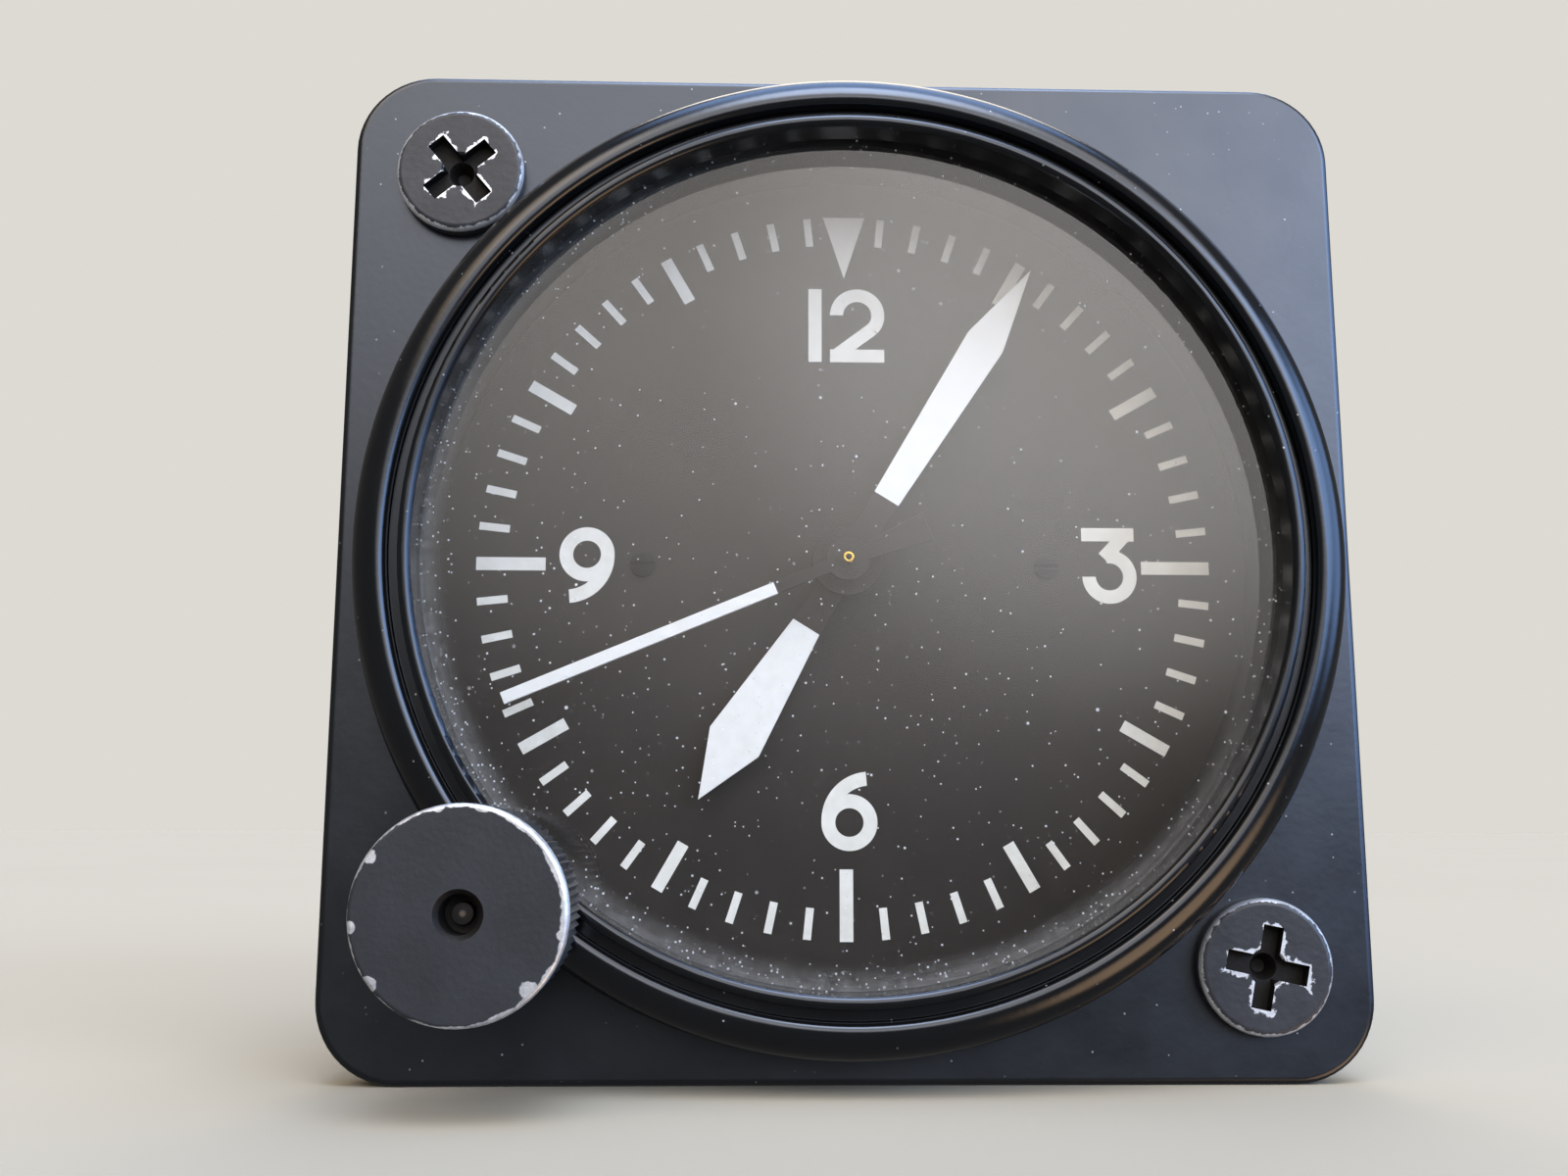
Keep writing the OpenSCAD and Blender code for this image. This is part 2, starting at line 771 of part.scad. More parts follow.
module centre_bush() {
    color("#8a6a2f")
        upright()
            pipe(O, centre_bush_r, centre_r + run, plate_back - 0.5, plate_front + 0.9);
}
// Posts that the winding wheel, the minute wheel and the setting wheel turn on, each with a head
module wheel_posts() {
    color("#8f9498")
        upright() {
            rod(W, wind_post_r, plate_front - post_deep, wind_z + wind_t + 0.2);
            rod(W, wind_post_r + 0.6, wind_z + wind_t + run, setting_z - apart);
            rod(M, post_r, plate_front - post_deep, dial_back - apart);
            rod(M, post_r + 0.3, hour_z + hour_t + 0.1, dial_back - apart);
            rod(C, post_r, plate_front - post_deep, setting_z + setting_t + 0.3);
            rod(C, post_r + 0.5, setting_z + setting_t + run, setting_z + setting_t + 0.35);
        }
}

// Knob, stem and winding train
module stem_bush() {
    color("#a8853f")
        upright()
            pipe(S, bush_r, stem_r + run, chamber_top, bush_top);
}
module stem_collar() {
    color("#8f9498")
        upright()
            pipe(S, stem_r + 0.9, stem_r + run, wind_z + wind_t + 0.1, wind_z + wind_t + 0.7);
}
module knob() {
    tip_r = knob_r - knurl_inset;
    root_r = tip_r - knurl_depth;
    color("#23262a")
        upright()
            difference() {
                union() {
                    translate([S[0], S[1], knob_low + knob_foot])
                        linear_extrude(knob_h - knob_foot - knob_rim_t / 2)
                            polygon([for (i = [0:2 * knurl_n - 1])
                                polar(O, i % 2 == 0 ? tip_r : root_r, i * 180 / knurl_n)]);
                    rod(S, root_r - 0.2, knob_low, knob_low + 2 * knob_foot);
                    translate([S[0], S[1], 0])
                        rotate_extrude()
                            round_edge(knob_r, knob_top - knob_rim_t, knob_top, knob_rim_t / 2);
                }
                rod(S, stem_r + fit, knob_low - 1, stem_top);
                rod(S, knob_hole_r, knob_low, knob_top + 1);
                translate([S[0], S[1], knob_top - 0.25])
                    cylinder(r1 = knob_hole_r, r2 = knob_hole_r + 0.5, h = 0.5);
                translate([S[0], S[1], knob_low + grub_up])
                    rotate([0, 90, 225])
                        cylinder(r = grub_r + fit, h = knob_r + 1);
            }
}
module knob_screw() {
    color("#6f7478")
        upright()
            translate([S[0], S[1], knob_low + grub_up])
                rotate([0, 90, 225])
                    translate([0, 0, stem_r + run])
                        cylinder(r = grub_r, h = knob_r - stem_r - 0.8);
}
module winding_stem() {
    color("#b9bcc0")
        upright() {
            rod(S, tail_r, plate_front - tail_len, wind_z);
            rod(S, stem_r, wind_z, stem_top);
            rod(S, knob_hole_r - 0.45, stem_top, stem_top + 0.8);
        }
}
module winding_pinion() {
    color("#9a9fa4")
        upright()
            difference() {
                gear(S, wind_pinion_n, wind_m, 0, wind_z, wind_z + wind_t);
                rod(S, stem_r + fit / 2, wind_z - 1, wind_z + wind_t + 1);
            }
}
module winding_wheel() {
    color("#c2a25a")
        upright()
            wheel(W, wind_wheel_n, wind_m, wind_wheel_phase, wind_z, wind_z + wind_t, wind_post_r + run);
}
module ratchet_wheel() {
    color("#9a9fa4")
        upright()
            difference() {
                gear(B, ratchet_n, wind_m, ratchet_phase, wind_z, wind_z + wind_t);
                translate([B[0], B[1], wind_z])
                    cube([square_w + 2 * fit, square_w + 2 * fit, 4], center = true);
            }
}
module ratchet_screw() {
    color("#6f7478")
        upright()
            difference() {
                screw(B, ratchet_thread_r, 3, 1.6, 0.3, wind_z + wind_t);
                translate([B[0] - 2, B[1] - 0.2, wind_z + wind_t + 0.15])
                    cube([4, 0.4, 1]);
            }
}
module barrel_arbor() {
    color("#9a9fa4")
        upright()
            difference() {
                union() {
                    rod(B, drum_arbor_r, rear_back + 0.3, plate_front);
                    rod(B, drum_core_r, drum_back + 1, great_z - 0.2);
                    translate([B[0] - square_w / 2, B[1] - square_w / 2, plate_front - 0.5])
                        cube([square_w, square_w, wind_z + wind_t - apart - plate_front + 0.5]);
                }
                rod(B, ratchet_thread_r + fit, plate_front - 2.5, 0);
            }
}
module click() {
    color("#9a9fa4")
        upright()
            difference() {
                union() {
                    rod(K, 1.3, wind_z, wind_z + wind_t - 0.1);
                    translate([0, 0, wind_z])
                        linear_extrude(wind_t - 0.1)
                            polygon([N, polar(K, 1.2, aim(K, N) + 90), polar(K, 1.2, aim(K, N) - 90),
                                polar(N, 0.9, aim(K, N) - 100)]);
                }
                rod(K, post_r + run, wind_z - 1, wind_z + 2);
            }
}
module click_screw() {
    color("#6f7478")
        upright() {
            rod(K, post_r, plate_front - post_deep, wind_z + wind_t + 0.2);
            rod(K, 1.2, wind_z + wind_t, wind_z + wind_t + 0.4);
        }
}
// A flat spring on its own screwed foot; its tip leaves room for the click to lift
module click_spring() {
    reach = polar(along(K, N, 0.75 * far(K, N)), 1.6, aim(K, N) - 90);
    color("#7c8186")
        upright() {
            rod(F, post_r, plate_front - post_deep, plate_front + 0.1);
            rod(F, 1.2, plate_front, wind_z + wind_t);
            bar(F, reach, 0.25, wind_z, wind_z + wind_t - 0.1);
        }
}

// Mainspring barrel
module barrel_drum() {
    color("#c2a25a")
        upright()
            difference() {
                union() {
                    gear(B, great_n, great_m, 0, great_z, great_z + great_t);
                    rod(B, drum_r, drum_back, great_z + 0.1);
                }
                rod(B, drum_arbor_r + run, drum_back - 1, great_z + great_t + 1);
                rod(B, drum_r - drum_wall, drum_back - 1, great_z);
            }
}
module barrel_cover() {
    color("#b8964c")
        upright()
            pipe(B, drum_r - drum_wall - fit, drum_arbor_r + run, drum_back, drum_back + 0.8);
}
module mainspring() {
    color("#55595e")
        upright()
            spiral(B, drum_core_r + 0.4, drum_r - drum_wall - 0.3, main_turns, main_band,
                drum_back + 1.1, great_z - 0.3);
}

// Going train
module intermediate_arbor() {
    color("#9a9fa4")
        upright() {
            arbor(I, arbor_r);
            gear(I, inter_pinion_n, great_m, inter_pinion_phase, great_z - leaf, great_z + great_t + leaf);
        }
}
module intermediate_wheel() {
    color("#c2a25a")
        upright()
            wheel(I, inter_n, inter_m, 0, inter_z, inter_z + inter_t, arbor_r + fit / 2);
}
module centre_arbor() {
    color("#9a9fa4")
        upright()
            difference() {
                union() {
                    rod(O, centre_r, inter_z - 0.6, minute_hand_z + hand_t + 0.05);
                    gear(O, centre_pinion_n, inter_m, centre_pinion_phase,
                        inter_z - leaf, inter_z + inter_t + leaf);
                }
                rod(O, centre_bore_r, inter_z - 2, glass_low);
            }
}
module centre_wheel() {
    color("#c2a25a")
        upright()
            wheel(O, centre_n, centre_m, 0, centre_z, centre_z + wheel_t, centre_r + fit / 2);
}
module cannon_pinion() {
    color("#a5a9ad")
        upright()
            difference() {
                union() {
                    rod(O, 1.3, plate_front + 1, setting_z);
                    gear(O, cannon_n, motion_m, 0, setting_z - 0.1, hour_z - 0.1);
                    rod(O, cannon_pipe_r, setting_z, minute_hand_z);
                }
                rod(O, centre_r + fit / 2, plate_front, glass_low);
            }
}
module minute_hand() {
    color("#f2f0ea")
        upright()
            hand(minute_angle, minute_hand_z, centre_r + fit / 2, minute_blade, minute_len);
}
module third_arbor() {
    color("#9a9fa4")
        upright() {
            arbor(T, arbor_r);
            gear(T, third_pinion_n, centre_m, third_pinion_phase, centre_z - leaf, centre_z + wheel_t + leaf);
        }
}
module third_wheel() {
    color("#c2a25a")
        upright()
            wheel(T, third_n, third_m, 0, third_z, third_z + wheel_t, arbor_r + fit / 2);
}
module seconds_arbor() {
    color("#9a9fa4")
        upright() {
            rod(O, second_r, rear_front + shoulder, second_hand_z - 0.5);
            rod(O, pivot_r, rear_front + shoulder - pivot_len, rear_front + 1);
            rod(O, second_tip_r, second_hand_z - 1, pipe_top - 0.3);
            gear(O, second_pinion_n, third_m, second_pinion_phase, third_z - leaf, third_z + wheel_t + leaf);
        }
}
module seconds_pipe() {
    color("#d8b24a")
        upright()
            pipe(O, pipe_r, second_tip_r + fit / 2, second_hand_z - 0.45, pipe_top);
}
module fourth_wheel() {
    color("#c2a25a")
        upright()
            wheel(O, fourth_n, fourth_m, 0, fourth_z, fourth_z + wheel_t, second_r + fit / 2);
}
module seconds_hand() {
    blade = second_w / 2;
    tail = tail_w / 2;
    color("#f2f0ea")
        upright()
            translate([0, 0, second_hand_z])
                rotate(-second_angle)
                    difference() {
                        union() {
                            cylinder(r = second_hub_r, h = hand_t);
                            linear_extrude(hand_t)
                                polygon([
                                    [-tail, -second_tail], [-blade, 0], [-blade, second_len],
                                    [blade, second_len], [blade, 0], [tail, -second_tail]
                                ]);
                        }
                        translate([0, 0, -1])
                            cylinder(r = pipe_r + fit / 2, h = 3);
                    }
}

// Motion work under the dial
module minute_wheel() {
    color("#c2a25a")
        upright()
            difference() {
                union() {
                    gear(M, minute_n, motion_m, minute_phase, setting_z, setting_z + setting_t);
                    gear(M, minute_pinion_n, hour_m, 0, setting_z, hour_z + hour_t + 0.05);
                }
                rod(M, post_r + run, setting_z - 1, 0);
            }
}
module hour_wheel() {
    color("#c2a25a")
        upright()
            difference() {
                union() {
                    gear(O, hour_n, hour_m, hour_phase, hour_z, hour_z + hour_t);
                    rod(O, hour_pipe_r, hour_z, hour_hand_z + hand_t);
                }
                rod(O, hour_bore_r, hour_z - 1, glass_low);
            }
}
module hour_hand() {
    color("#f2f0ea")
        upright()
            hand(hour_angle, hour_hand_z, hour_pipe_r + fit / 2, hour_blade, hour_len);
}
module setting_wheel() {
    color("#c2a25a")
        upright()
            wheel(C, setting_n, motion_m, setting_phase, setting_z, setting_z + setting_t, post_r + run);
}

// Escapement
module escape_arbor() {
    color("#9a9fa4")
        upright() {
            arbor(E, slim_r);
            gear(E, escape_pinion_n, fourth_m, escape_pinion_phase, fourth_z - leaf, fourth_z + wheel_t + leaf);
        }
}
module escape_wheel() {
    step = 360 / escape_n;
    color("#8f9498")
        upright()
            difference() {
                translate([E[0], E[1], escape_z])
                    linear_extrude(wheel_t)
                        polygon([for (i = [0:escape_n - 1]) each [
                            polar(O, escape_r - 1.1, i * step), polar(O, escape_r, (i + 0.35) * step),
                            polar(O, escape_r, (i + 0.5) * step), polar(O, escape_r - 1.1, (i + 0.6) * step)
                        ]]);
                rod(E, slim_r + fit / 2, escape_z - 1, escape_z + 2);
                for (i = [0:3])
                    rod(polar(E, 1.8, 90 * i), 0.7, escape_z - 1, escape_z + 2);
            }
}
// Lever with two pallet stones outside the escape wheel's tips, and a slotted end short of the impulse pin
module pallet_fork() {
    stone = escape_r + 0.65;
    color("#a5a9ad")
        upright() {
            rod(P, slim_r, rear_front + shoulder, bridge_z - shoulder);
            rod(P, pivot_r, rear_front + shoulder - pivot_len, bridge_z + 0.6);
            difference() {
                union() {
                    bar(P, polar(P, fork_len, fork_dir), 0.8, escape_z, escape_z + fork_t);
                    rod(P, fork_hub_r, escape_z, escape_z + fork_t);
                    for (s = [-1, 1])
                        bar(polar(E, stone, fork_dir + s * 30), polar(P, 0.2, fork_dir), 0.5, escape_z,
                            escape_z + fork_t);
                }
                bar(polar(P, fork_len - 0.7, fork_dir), polar(P, fork_len + 1, fork_dir), 0.35, escape_z - 1,
                    escape_z + 2);
            }
        }
}
module pallet_bridge() {
    color("#b8964c")
        upright()
            difference() {
                union() {
                    rod(Q, 1.2, rear_front, bridge_z + bridge_t);
                    bar(Q, P, 1.8, bridge_z, bridge_z + bridge_t);
                    rod(P, 1, bridge_z, bridge_z + bridge_t);
                }
                rod(P, pivot_r + run, bridge_z - 1, bridge_z + 2);
                rod(Q, bridge_thread_r + fit, rear_front - 1, rear_front + 3);
            }
}
module bridge_screw() {
    color("#6f7478")
        upright() {
            rod(Q, 1.1, rear_back - 0.7, rear_back);
            rod(Q, bridge_thread_r, rear_back - 0.4, rear_front + 2.5);
        }
}
module balance_wheel() {
    color("#d0b060")
        upright()
            difference() {
                union() {
                    pipe(A, balance_r, balance_r - 0.8, balance_z, balance_z + balance_t);
                    bar(polar(A, balance_r - 0.5, 45), polar(A, balance_r - 0.5, 225), 1, balance_z + 0.3,
                        balance_z + 0.7);
                    rod(A, 1.2, balance_z + 0.2, balance_z + 0.8);
                }
                rod(A, arbor_r + fit / 2, balance_z - 1, balance_z + 2);
            }
}
module balance_staff() {
    color("#9a9fa4")
        upright() {
            arbor(A, arbor_r);
            rod(A, roller_r, escape_z + fork_t + 0.1, escape_z + fork_t + 0.5);
            rod(polar(A, pin_at, fork_dir + 180), pin_r, escape_z, escape_z + fork_t + 0.3);
            rod(A, 0.8, spring_z, spring_z + spring_h);
        }
}
module hairspring() {
    color("#4b6f9e")
        upright()
            spiral(A, coil_in, coil_out, coil_turns, coil_band, spring_z, spring_z + spring_h);
}
module hairspring_stud() {
    color("#9a9fa4")
        upright()
            rod(H, stud_r, spring_z - 0.1, plate_back + post_deep);
}

case_casting();
retaining_ring();
glass();
glass_gasket();
dial();
dial_screws();
dial_posts();
spacer_ring();
front_plate();
rear_plate();
pillars();
pillar_screws();
centre_bush();
rear_can();
can_gasket();
can_screws();
mounting_screws();
stem_bush();
wheel_posts();
click_screw();
click_spring();
pallet_bridge();
bridge_screw();
hairspring_stud();
hairspring();
stem_collar();
knob();
knob_screw();
winding_stem();
winding_pinion();
winding_wheel();
ratchet_wheel();
ratchet_screw();
barrel_arbor();
click();
barrel_drum();
barrel_cover();
mainspring();
intermediate_arbor();
intermediate_wheel();
centre_arbor();
centre_wheel();
cannon_pinion();
minute_hand();
third_arbor();
third_wheel();
seconds_arbor();
seconds_pipe();
fourth_wheel();
seconds_hand();
minute_wheel();
hour_wheel();
hour_hand();
setting_wheel();
escape_arbor();
escape_wheel();
pallet_fork();
balance_wheel();
balance_staff();
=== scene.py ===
"""Aircraft panel clock: dial print, painted case, worn knob and screws, glass and light round the CAD frame."""

import json
import math

import bmesh
import bpy
from mathutils import Matrix, Vector


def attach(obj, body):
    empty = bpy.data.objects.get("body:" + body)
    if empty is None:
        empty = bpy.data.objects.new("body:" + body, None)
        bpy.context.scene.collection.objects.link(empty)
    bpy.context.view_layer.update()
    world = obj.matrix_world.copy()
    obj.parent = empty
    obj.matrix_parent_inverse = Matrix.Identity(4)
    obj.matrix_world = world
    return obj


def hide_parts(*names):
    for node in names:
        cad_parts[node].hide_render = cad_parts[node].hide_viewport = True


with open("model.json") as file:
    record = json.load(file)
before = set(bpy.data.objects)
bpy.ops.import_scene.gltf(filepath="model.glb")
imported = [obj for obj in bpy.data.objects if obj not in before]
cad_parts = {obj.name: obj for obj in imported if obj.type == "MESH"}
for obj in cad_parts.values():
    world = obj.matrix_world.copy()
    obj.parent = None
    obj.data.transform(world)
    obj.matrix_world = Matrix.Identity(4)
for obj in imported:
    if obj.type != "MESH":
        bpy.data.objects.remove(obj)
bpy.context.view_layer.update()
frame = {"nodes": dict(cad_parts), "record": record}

MM = 0.001
# Points nearer than this are one point
WELD = 0.0005 * MM

# Heights in front of the flange's back face, in millimetres
DIAL_FACE = -0.5
ARBOR_END = 2.0
FLANGE_FRONT = 3.0
SCREW_TOP = 4.1
RIM_CREST = 8.33
STEM_TOP = 13.4
KNOB_TOP = 15.5

# Rim: radius of the bore, wall, and the radius of its shoulder, in millimetres
RIM_BORE, RIM_WALL, SHOULDER = 26.1, 2.2, 2.1
# Crest of the rim: the round at the bore's edge, the height from which it is turned anew, half the angle that stays
# as it is under the knob, the steps round, and the steps along the inner round and the shoulder
CREST_ROUND = 0.45
CREST_CUT = 6.5
CREST_KEPT = math.radians(7)
CREST_STEPS = 186
INNER_STEPS, SHOULDER_STEPS = 7, 14
# A low face of the casting within this radius is the wall between the glass and the dial
DIAL_WALL = 25.2
# Where the dust on the glass starts to crowd towards the ring, and where it is thickest
DUST_START, DUST_FULL = 23.1, 24.65

# Axes beside the dial's own, in millimetres right and up from the dial's centre
KNOB_AXIS = (-20.0, -20.0)
SCREW_AXIS = (-23.573, 23.573)
KNOB_HOLE = 1.0
# Stem's end: its depth, and the radii between which the painted highlight at its centre fades
STEM_FACE, CENTRE_HIGHLIGHT = 0.1, (0.1, 0.2)
# Knob's worn edge: where the bare border starts, how soft and how ragged it is, the size of its flakes, and how far
# it lies off the axis, right and up, which leaves it wider on the other side
WORN_FROM, WORN_FADE, WORN_RAGGED, WORN_FLAKE = 5.2, 0.03, 0.16, 1.5
WORN_LEAN = (-0.14, -0.05)
# Larger knocks: right and up from the knob's axis, and radius
KNOB_KNOCKS = (
    (3.55, -3.6, 0.42),
    (-4.2, -3.25, 0.36),
    (-4.4, 2.75, 0.3),
    (-5.2, -0.6, 0.27),
    (3.1, 4.35, 0.34),
    (4.75, 2.3, 0.3),
    (5.1, -0.9, 0.26),
    (-1.2, 5.2, 0.26),
    (2.2, -4.9, 0.24),
)
# Screw heads: radius, the arms of the cross recess, its turn at the upper left and lower right, in degrees, and the
# radius that holds the whole recess
HEAD_RADIUS = 3.85
RECESS_WIDTH, RECESS_LENGTH = 1.15, 4.7
RECESS_TURNS = (40, -12)
RECESS_REACH = 2.6
# Bare flakes along the recess and round the head: how ragged they are, and where they start and end to fade
ARM_RAGGED, ARM_BARE = 0.34, (0.04, 0.12)
RIM_RAGGED, RIM_BARE = 0.1, (0.12, 0.2)
# Faces this close to the front of a head or of the knob have its front's look
FACE_DEPTH = 0.5
# Grime with painted shade in a screw's recess: how far below the head's front it starts, and below the flange's
# front it ends
SCREW_DIRT_AND_SHADE, SCREW_DEEP = 0.15, 1.0
# Grime with painted shade in the knob's hole: how far below its front it starts, and how far round the hole it may
# lie
KNOB_DIRT_AND_SHADE, HOLE_EDGE = 0.03, 0.6
# Margins of the casting's looks: at the ends of the dial's wall, at the flange's back face, and at the rim's foot
WALL_MARGIN, BACK_MARGIN, RIM_FOOT = 0.1, 0.05, 0.2
# Hands, clockwise from 12, and where the white fill starts on each, in millimetres from the centre
HANDS = {"hour_hand": (211.8, 4.6), "minute_hand": (32.0, 4.5), "seconds_hand": (247.4, 4.66)}
# Edges between faces that meet at more than the first angle are rounded; below the second, faces are one flat face
SHARP, FLAT = math.radians(35), math.radians(0.5)


def linear(colour):
    """sRGB hex to linear RGBA."""
    parts = [int(colour[i : i + 2], 16) / 255 for i in (1, 3, 5)]
    return [p / 12.92 if p <= 0.04045 else ((p + 0.055) / 1.055) ** 2.4 for p in parts] + [1.0]


def at(x, y, z):
    """A point of the dial frame, in millimetres, in the row frame."""
    return Vector((x, -z, y)) * MM


def add(tree, kind, inputs, **settings):
    """Adds a node with its settings; an input is a value or another node's output."""
    node = tree.nodes.new("ShaderNode" + kind)
    for name, value in settings.items():
        setattr(node, name, value)
    for key, value in inputs.items():
        if isinstance(value, bpy.types.NodeSocket):
            tree.links.new(value, node.inputs[key])
        else:
            node.inputs[key].default_value = value
    return node


def new_tree(name):
    """A new material, its empty node tree, and the Object coordinates that its patterns read."""
    material = bpy.data.materials.new(name)
    material.use_nodes = True
    tree = material.node_tree
    tree.nodes.clear()
    return material, tree, add(tree, "TexCoord", {}).outputs["Object"]


def mottle(tree, place, size_mm, low, high, sharp=0.2, detail=3.0):
    """A value that wanders from low to high in patches of a size; sharp is half the width of the change."""
    patches = add(
        tree, "TexNoise", {"Vector": place, "Scale": 1 / (size_mm * MM), "Detail": detail, "Roughness": 0.6}
    )
    spread = {"Value": patches.outputs["Fac"], "From Min": 0.5 - sharp, "From Max": 0.5 + sharp}
    return add(tree, "MapRange", {**spread, "To Min": low, "To Max": high}).outputs["Result"]


def tones(tree, place, size_mm, colours):
    """A colour that wanders between two near tones, in patches of a size."""
    first, second = (linear(colour) for colour in colours)
    patches = mottle(tree, place, size_mm, 0.0, 1.0)
    return add(tree, "Mix", {0: patches, 6: first, 7: second}, data_type="RGBA").outputs[2]


def dimples(tree, place, size_mm, depth_mm):
    """The skin of a sprayed or plated finish: soft dimples of a size and depth, as a normal."""
    waves = add(tree, "TexNoise", {"Vector": place, "Scale": 1 / (size_mm * MM), "Detail": 2.0, "Roughness": 0.5})
    bump = {"Strength": 1.0, "Distance": depth_mm * MM, "Height": waves.outputs["Fac"]}
    return add(tree, "Bump", bump).outputs[0]


def specks(tree, place, spacing_mm, radius_mm, share):
    """Round specks of dust, faint to full: about one in each cell of the spacing, kept in a share of the cells."""
    cells = add(tree, "TexVoronoi", {"Vector": place, "Scale": 1 / (spacing_mm * MM)})
    edge = radius_mm / spacing_mm
    near = {"Value": cells.outputs["Distance"], "From Min": edge, "From Max": edge * 0.5}
    dot = add(tree, "MapRange", near).outputs["Result"]
    chance = add(tree, "SeparateColor", {0: cells.outputs["Color"]}).outputs[0]
    kept = add(tree, "MapRange", {"Value": chance, "From Min": share, "From Max": 0.0}).outputs["Result"]
    return add(tree, "Math", {0: dot, 1: kept}, operation="MULTIPLY").outputs[0]


def from_axis(tree, place, axis):
    """Distance of a point from an axis that runs front to back."""
    off = add(tree, "VectorMath", {0: place, 1: at(*axis, 0)}, operation="SUBTRACT").outputs[0]
    flat = add(tree, "VectorMath", {0: off, 1: (1, 0, 1)}, operation="MULTIPLY").outputs[0]
    return add(tree, "VectorMath", {0: flat}, operation="LENGTH").outputs["Value"]


def from_cross(tree, place, axis, turn):
    """Distance outwards from the arms of a cross recess, which is turned about its screw's axis."""
    off = add(tree, "VectorMath", {0: place, 1: at(*axis, 0)}, operation="SUBTRACT").outputs[0]
    spun = add(tree, "VectorRotate", {"Vector": off, "Axis": (0, 1, 0), "Angle": math.radians(turn)}).outputs[0]
    flat = add(tree, "VectorMath", {0: spun}, operation="ABSOLUTE").outputs[0]
    parts = add(tree, "SeparateXYZ", {0: flat}).outputs
    across = add(tree, "Math", {0: parts["X"], 1: parts["Z"]}, operation="MINIMUM").outputs[0]
    along = add(tree, "Math", {0: parts["X"], 1: parts["Z"]}, operation="MAXIMUM").outputs[0]
    beside = add(tree, "Math", {0: across, 1: RECESS_WIDTH / 2 * MM}, operation="SUBTRACT").outputs[0]
    beyond = add(tree, "Math", {0: along, 1: RECESS_LENGTH / 2 * MM}, operation="SUBTRACT").outputs[0]
    return add(tree, "Math", {0: beside, 1: beyond}, operation="MAXIMUM").outputs[0]


def enamel(name, colours, rough, dust, peel_mm, gloss, sheen="#ffffff"):
    """Sprayed black enamel: satin, with a faint orange peel, rubbed patches and specks of dust."""
    material, tree, place = new_tree(name)
    paint = tones(tree, place, 9.0, colours)
    small = specks(tree, place, 0.9, 0.07, dust)
    large = specks(tree, place, 4.1, 0.1, dust)
    spots = add(tree, "Math", {0: small, 1: large}, operation="MAXIMUM").outputs[0]
    dusty = add(tree, "Mix", {0: spots, 6: paint, 7: linear("#c3c6ca")}, data_type="RGBA").outputs[2]
    shader = add(
        tree,
        "BsdfPrincipled",
        {
            "Base Color": dusty,
            "Roughness": mottle(tree, place, 5.0, rough - 0.04, rough + 0.04),
            "IOR": 1.6,
            "Specular IOR Level": gloss,
            "Specular Tint": linear(sheen),
            "Normal": dimples(tree, place, 0.45, peel_mm),
        },
    )
    add(tree, "OutputMaterial", {"Surface": shader.outputs[0]})
    return material


def metal(name, colours, rough):
    """Machined metal: bright, with fine tool marks that vary its gloss."""
    material, tree, place = new_tree(name)
    tone = tones(tree, place, 0.2, colours)
    gloss = mottle(tree, place, 0.3, rough - 0.06, rough + 0.06)
    shader = add(tree, "BsdfPrincipled", {"Base Color": tone, "Metallic": 1.0, "Roughness": gloss})
    add(tree, "OutputMaterial", {"Surface": shader.outputs[0]})
    return material


def worn_knob(name, paint, bare):
    """Black finish on the knob's face, flaked off to bare metal round the edge and in larger knocks."""
    material, tree, place = new_tree(name)
    ragged = mottle(tree, place, WORN_FLAKE, -WORN_RAGGED * MM, WORN_RAGGED * MM, 0.22, 4.0)
    centre = (KNOB_AXIS[0] + WORN_LEAN[0], KNOB_AXIS[1] + WORN_LEAN[1])
    reach = add(tree, "Math", {0: from_axis(tree, place, centre), 1: ragged}, operation="ADD").outputs[0]
    inner, outer = (WORN_FROM - WORN_FADE) * MM, (WORN_FROM + WORN_FADE) * MM
    flaked = add(tree, "MapRange", {"Value": reach, "From Min": inner, "From Max": outer}).outputs["Result"]
    for right, up, radius in KNOB_KNOCKS:
        off = from_axis(tree, place, (KNOB_AXIS[0] + right, KNOB_AXIS[1] + up))
        rough_off = add(tree, "Math", {0: off, 1: ragged}, operation="ADD").outputs[0]
        inner, outer = (radius - WORN_FADE) * MM, (radius + WORN_FADE) * MM
        spot = add(tree, "MapRange", {"Value": rough_off, "From Min": outer, "From Max": inner}).outputs["Result"]
        flaked = add(tree, "Math", {0: flaked, 1: spot}, operation="MAXIMUM").outputs[0]
    black = tones(tree, place, 3.0, paint)
    alloy = tones(tree, place, 0.5, bare)
    colour = add(tree, "Mix", {0: flaked, 6: black, 7: alloy}, data_type="RGBA").outputs[2]
    bright = add(tree, "Math", {0: flaked, 1: 0.7}, operation="MULTIPLY").outputs[0]
    grain = dimples(tree, place, 0.3, 0.012)
    finish = {"Base Color": colour, "Metallic": bright, "Roughness": 0.4, "Normal": grain}
    shader = add(tree, "BsdfPrincipled", finish)
    add(tree, "OutputMaterial", {"Surface": shader.outputs[0]})
    return material


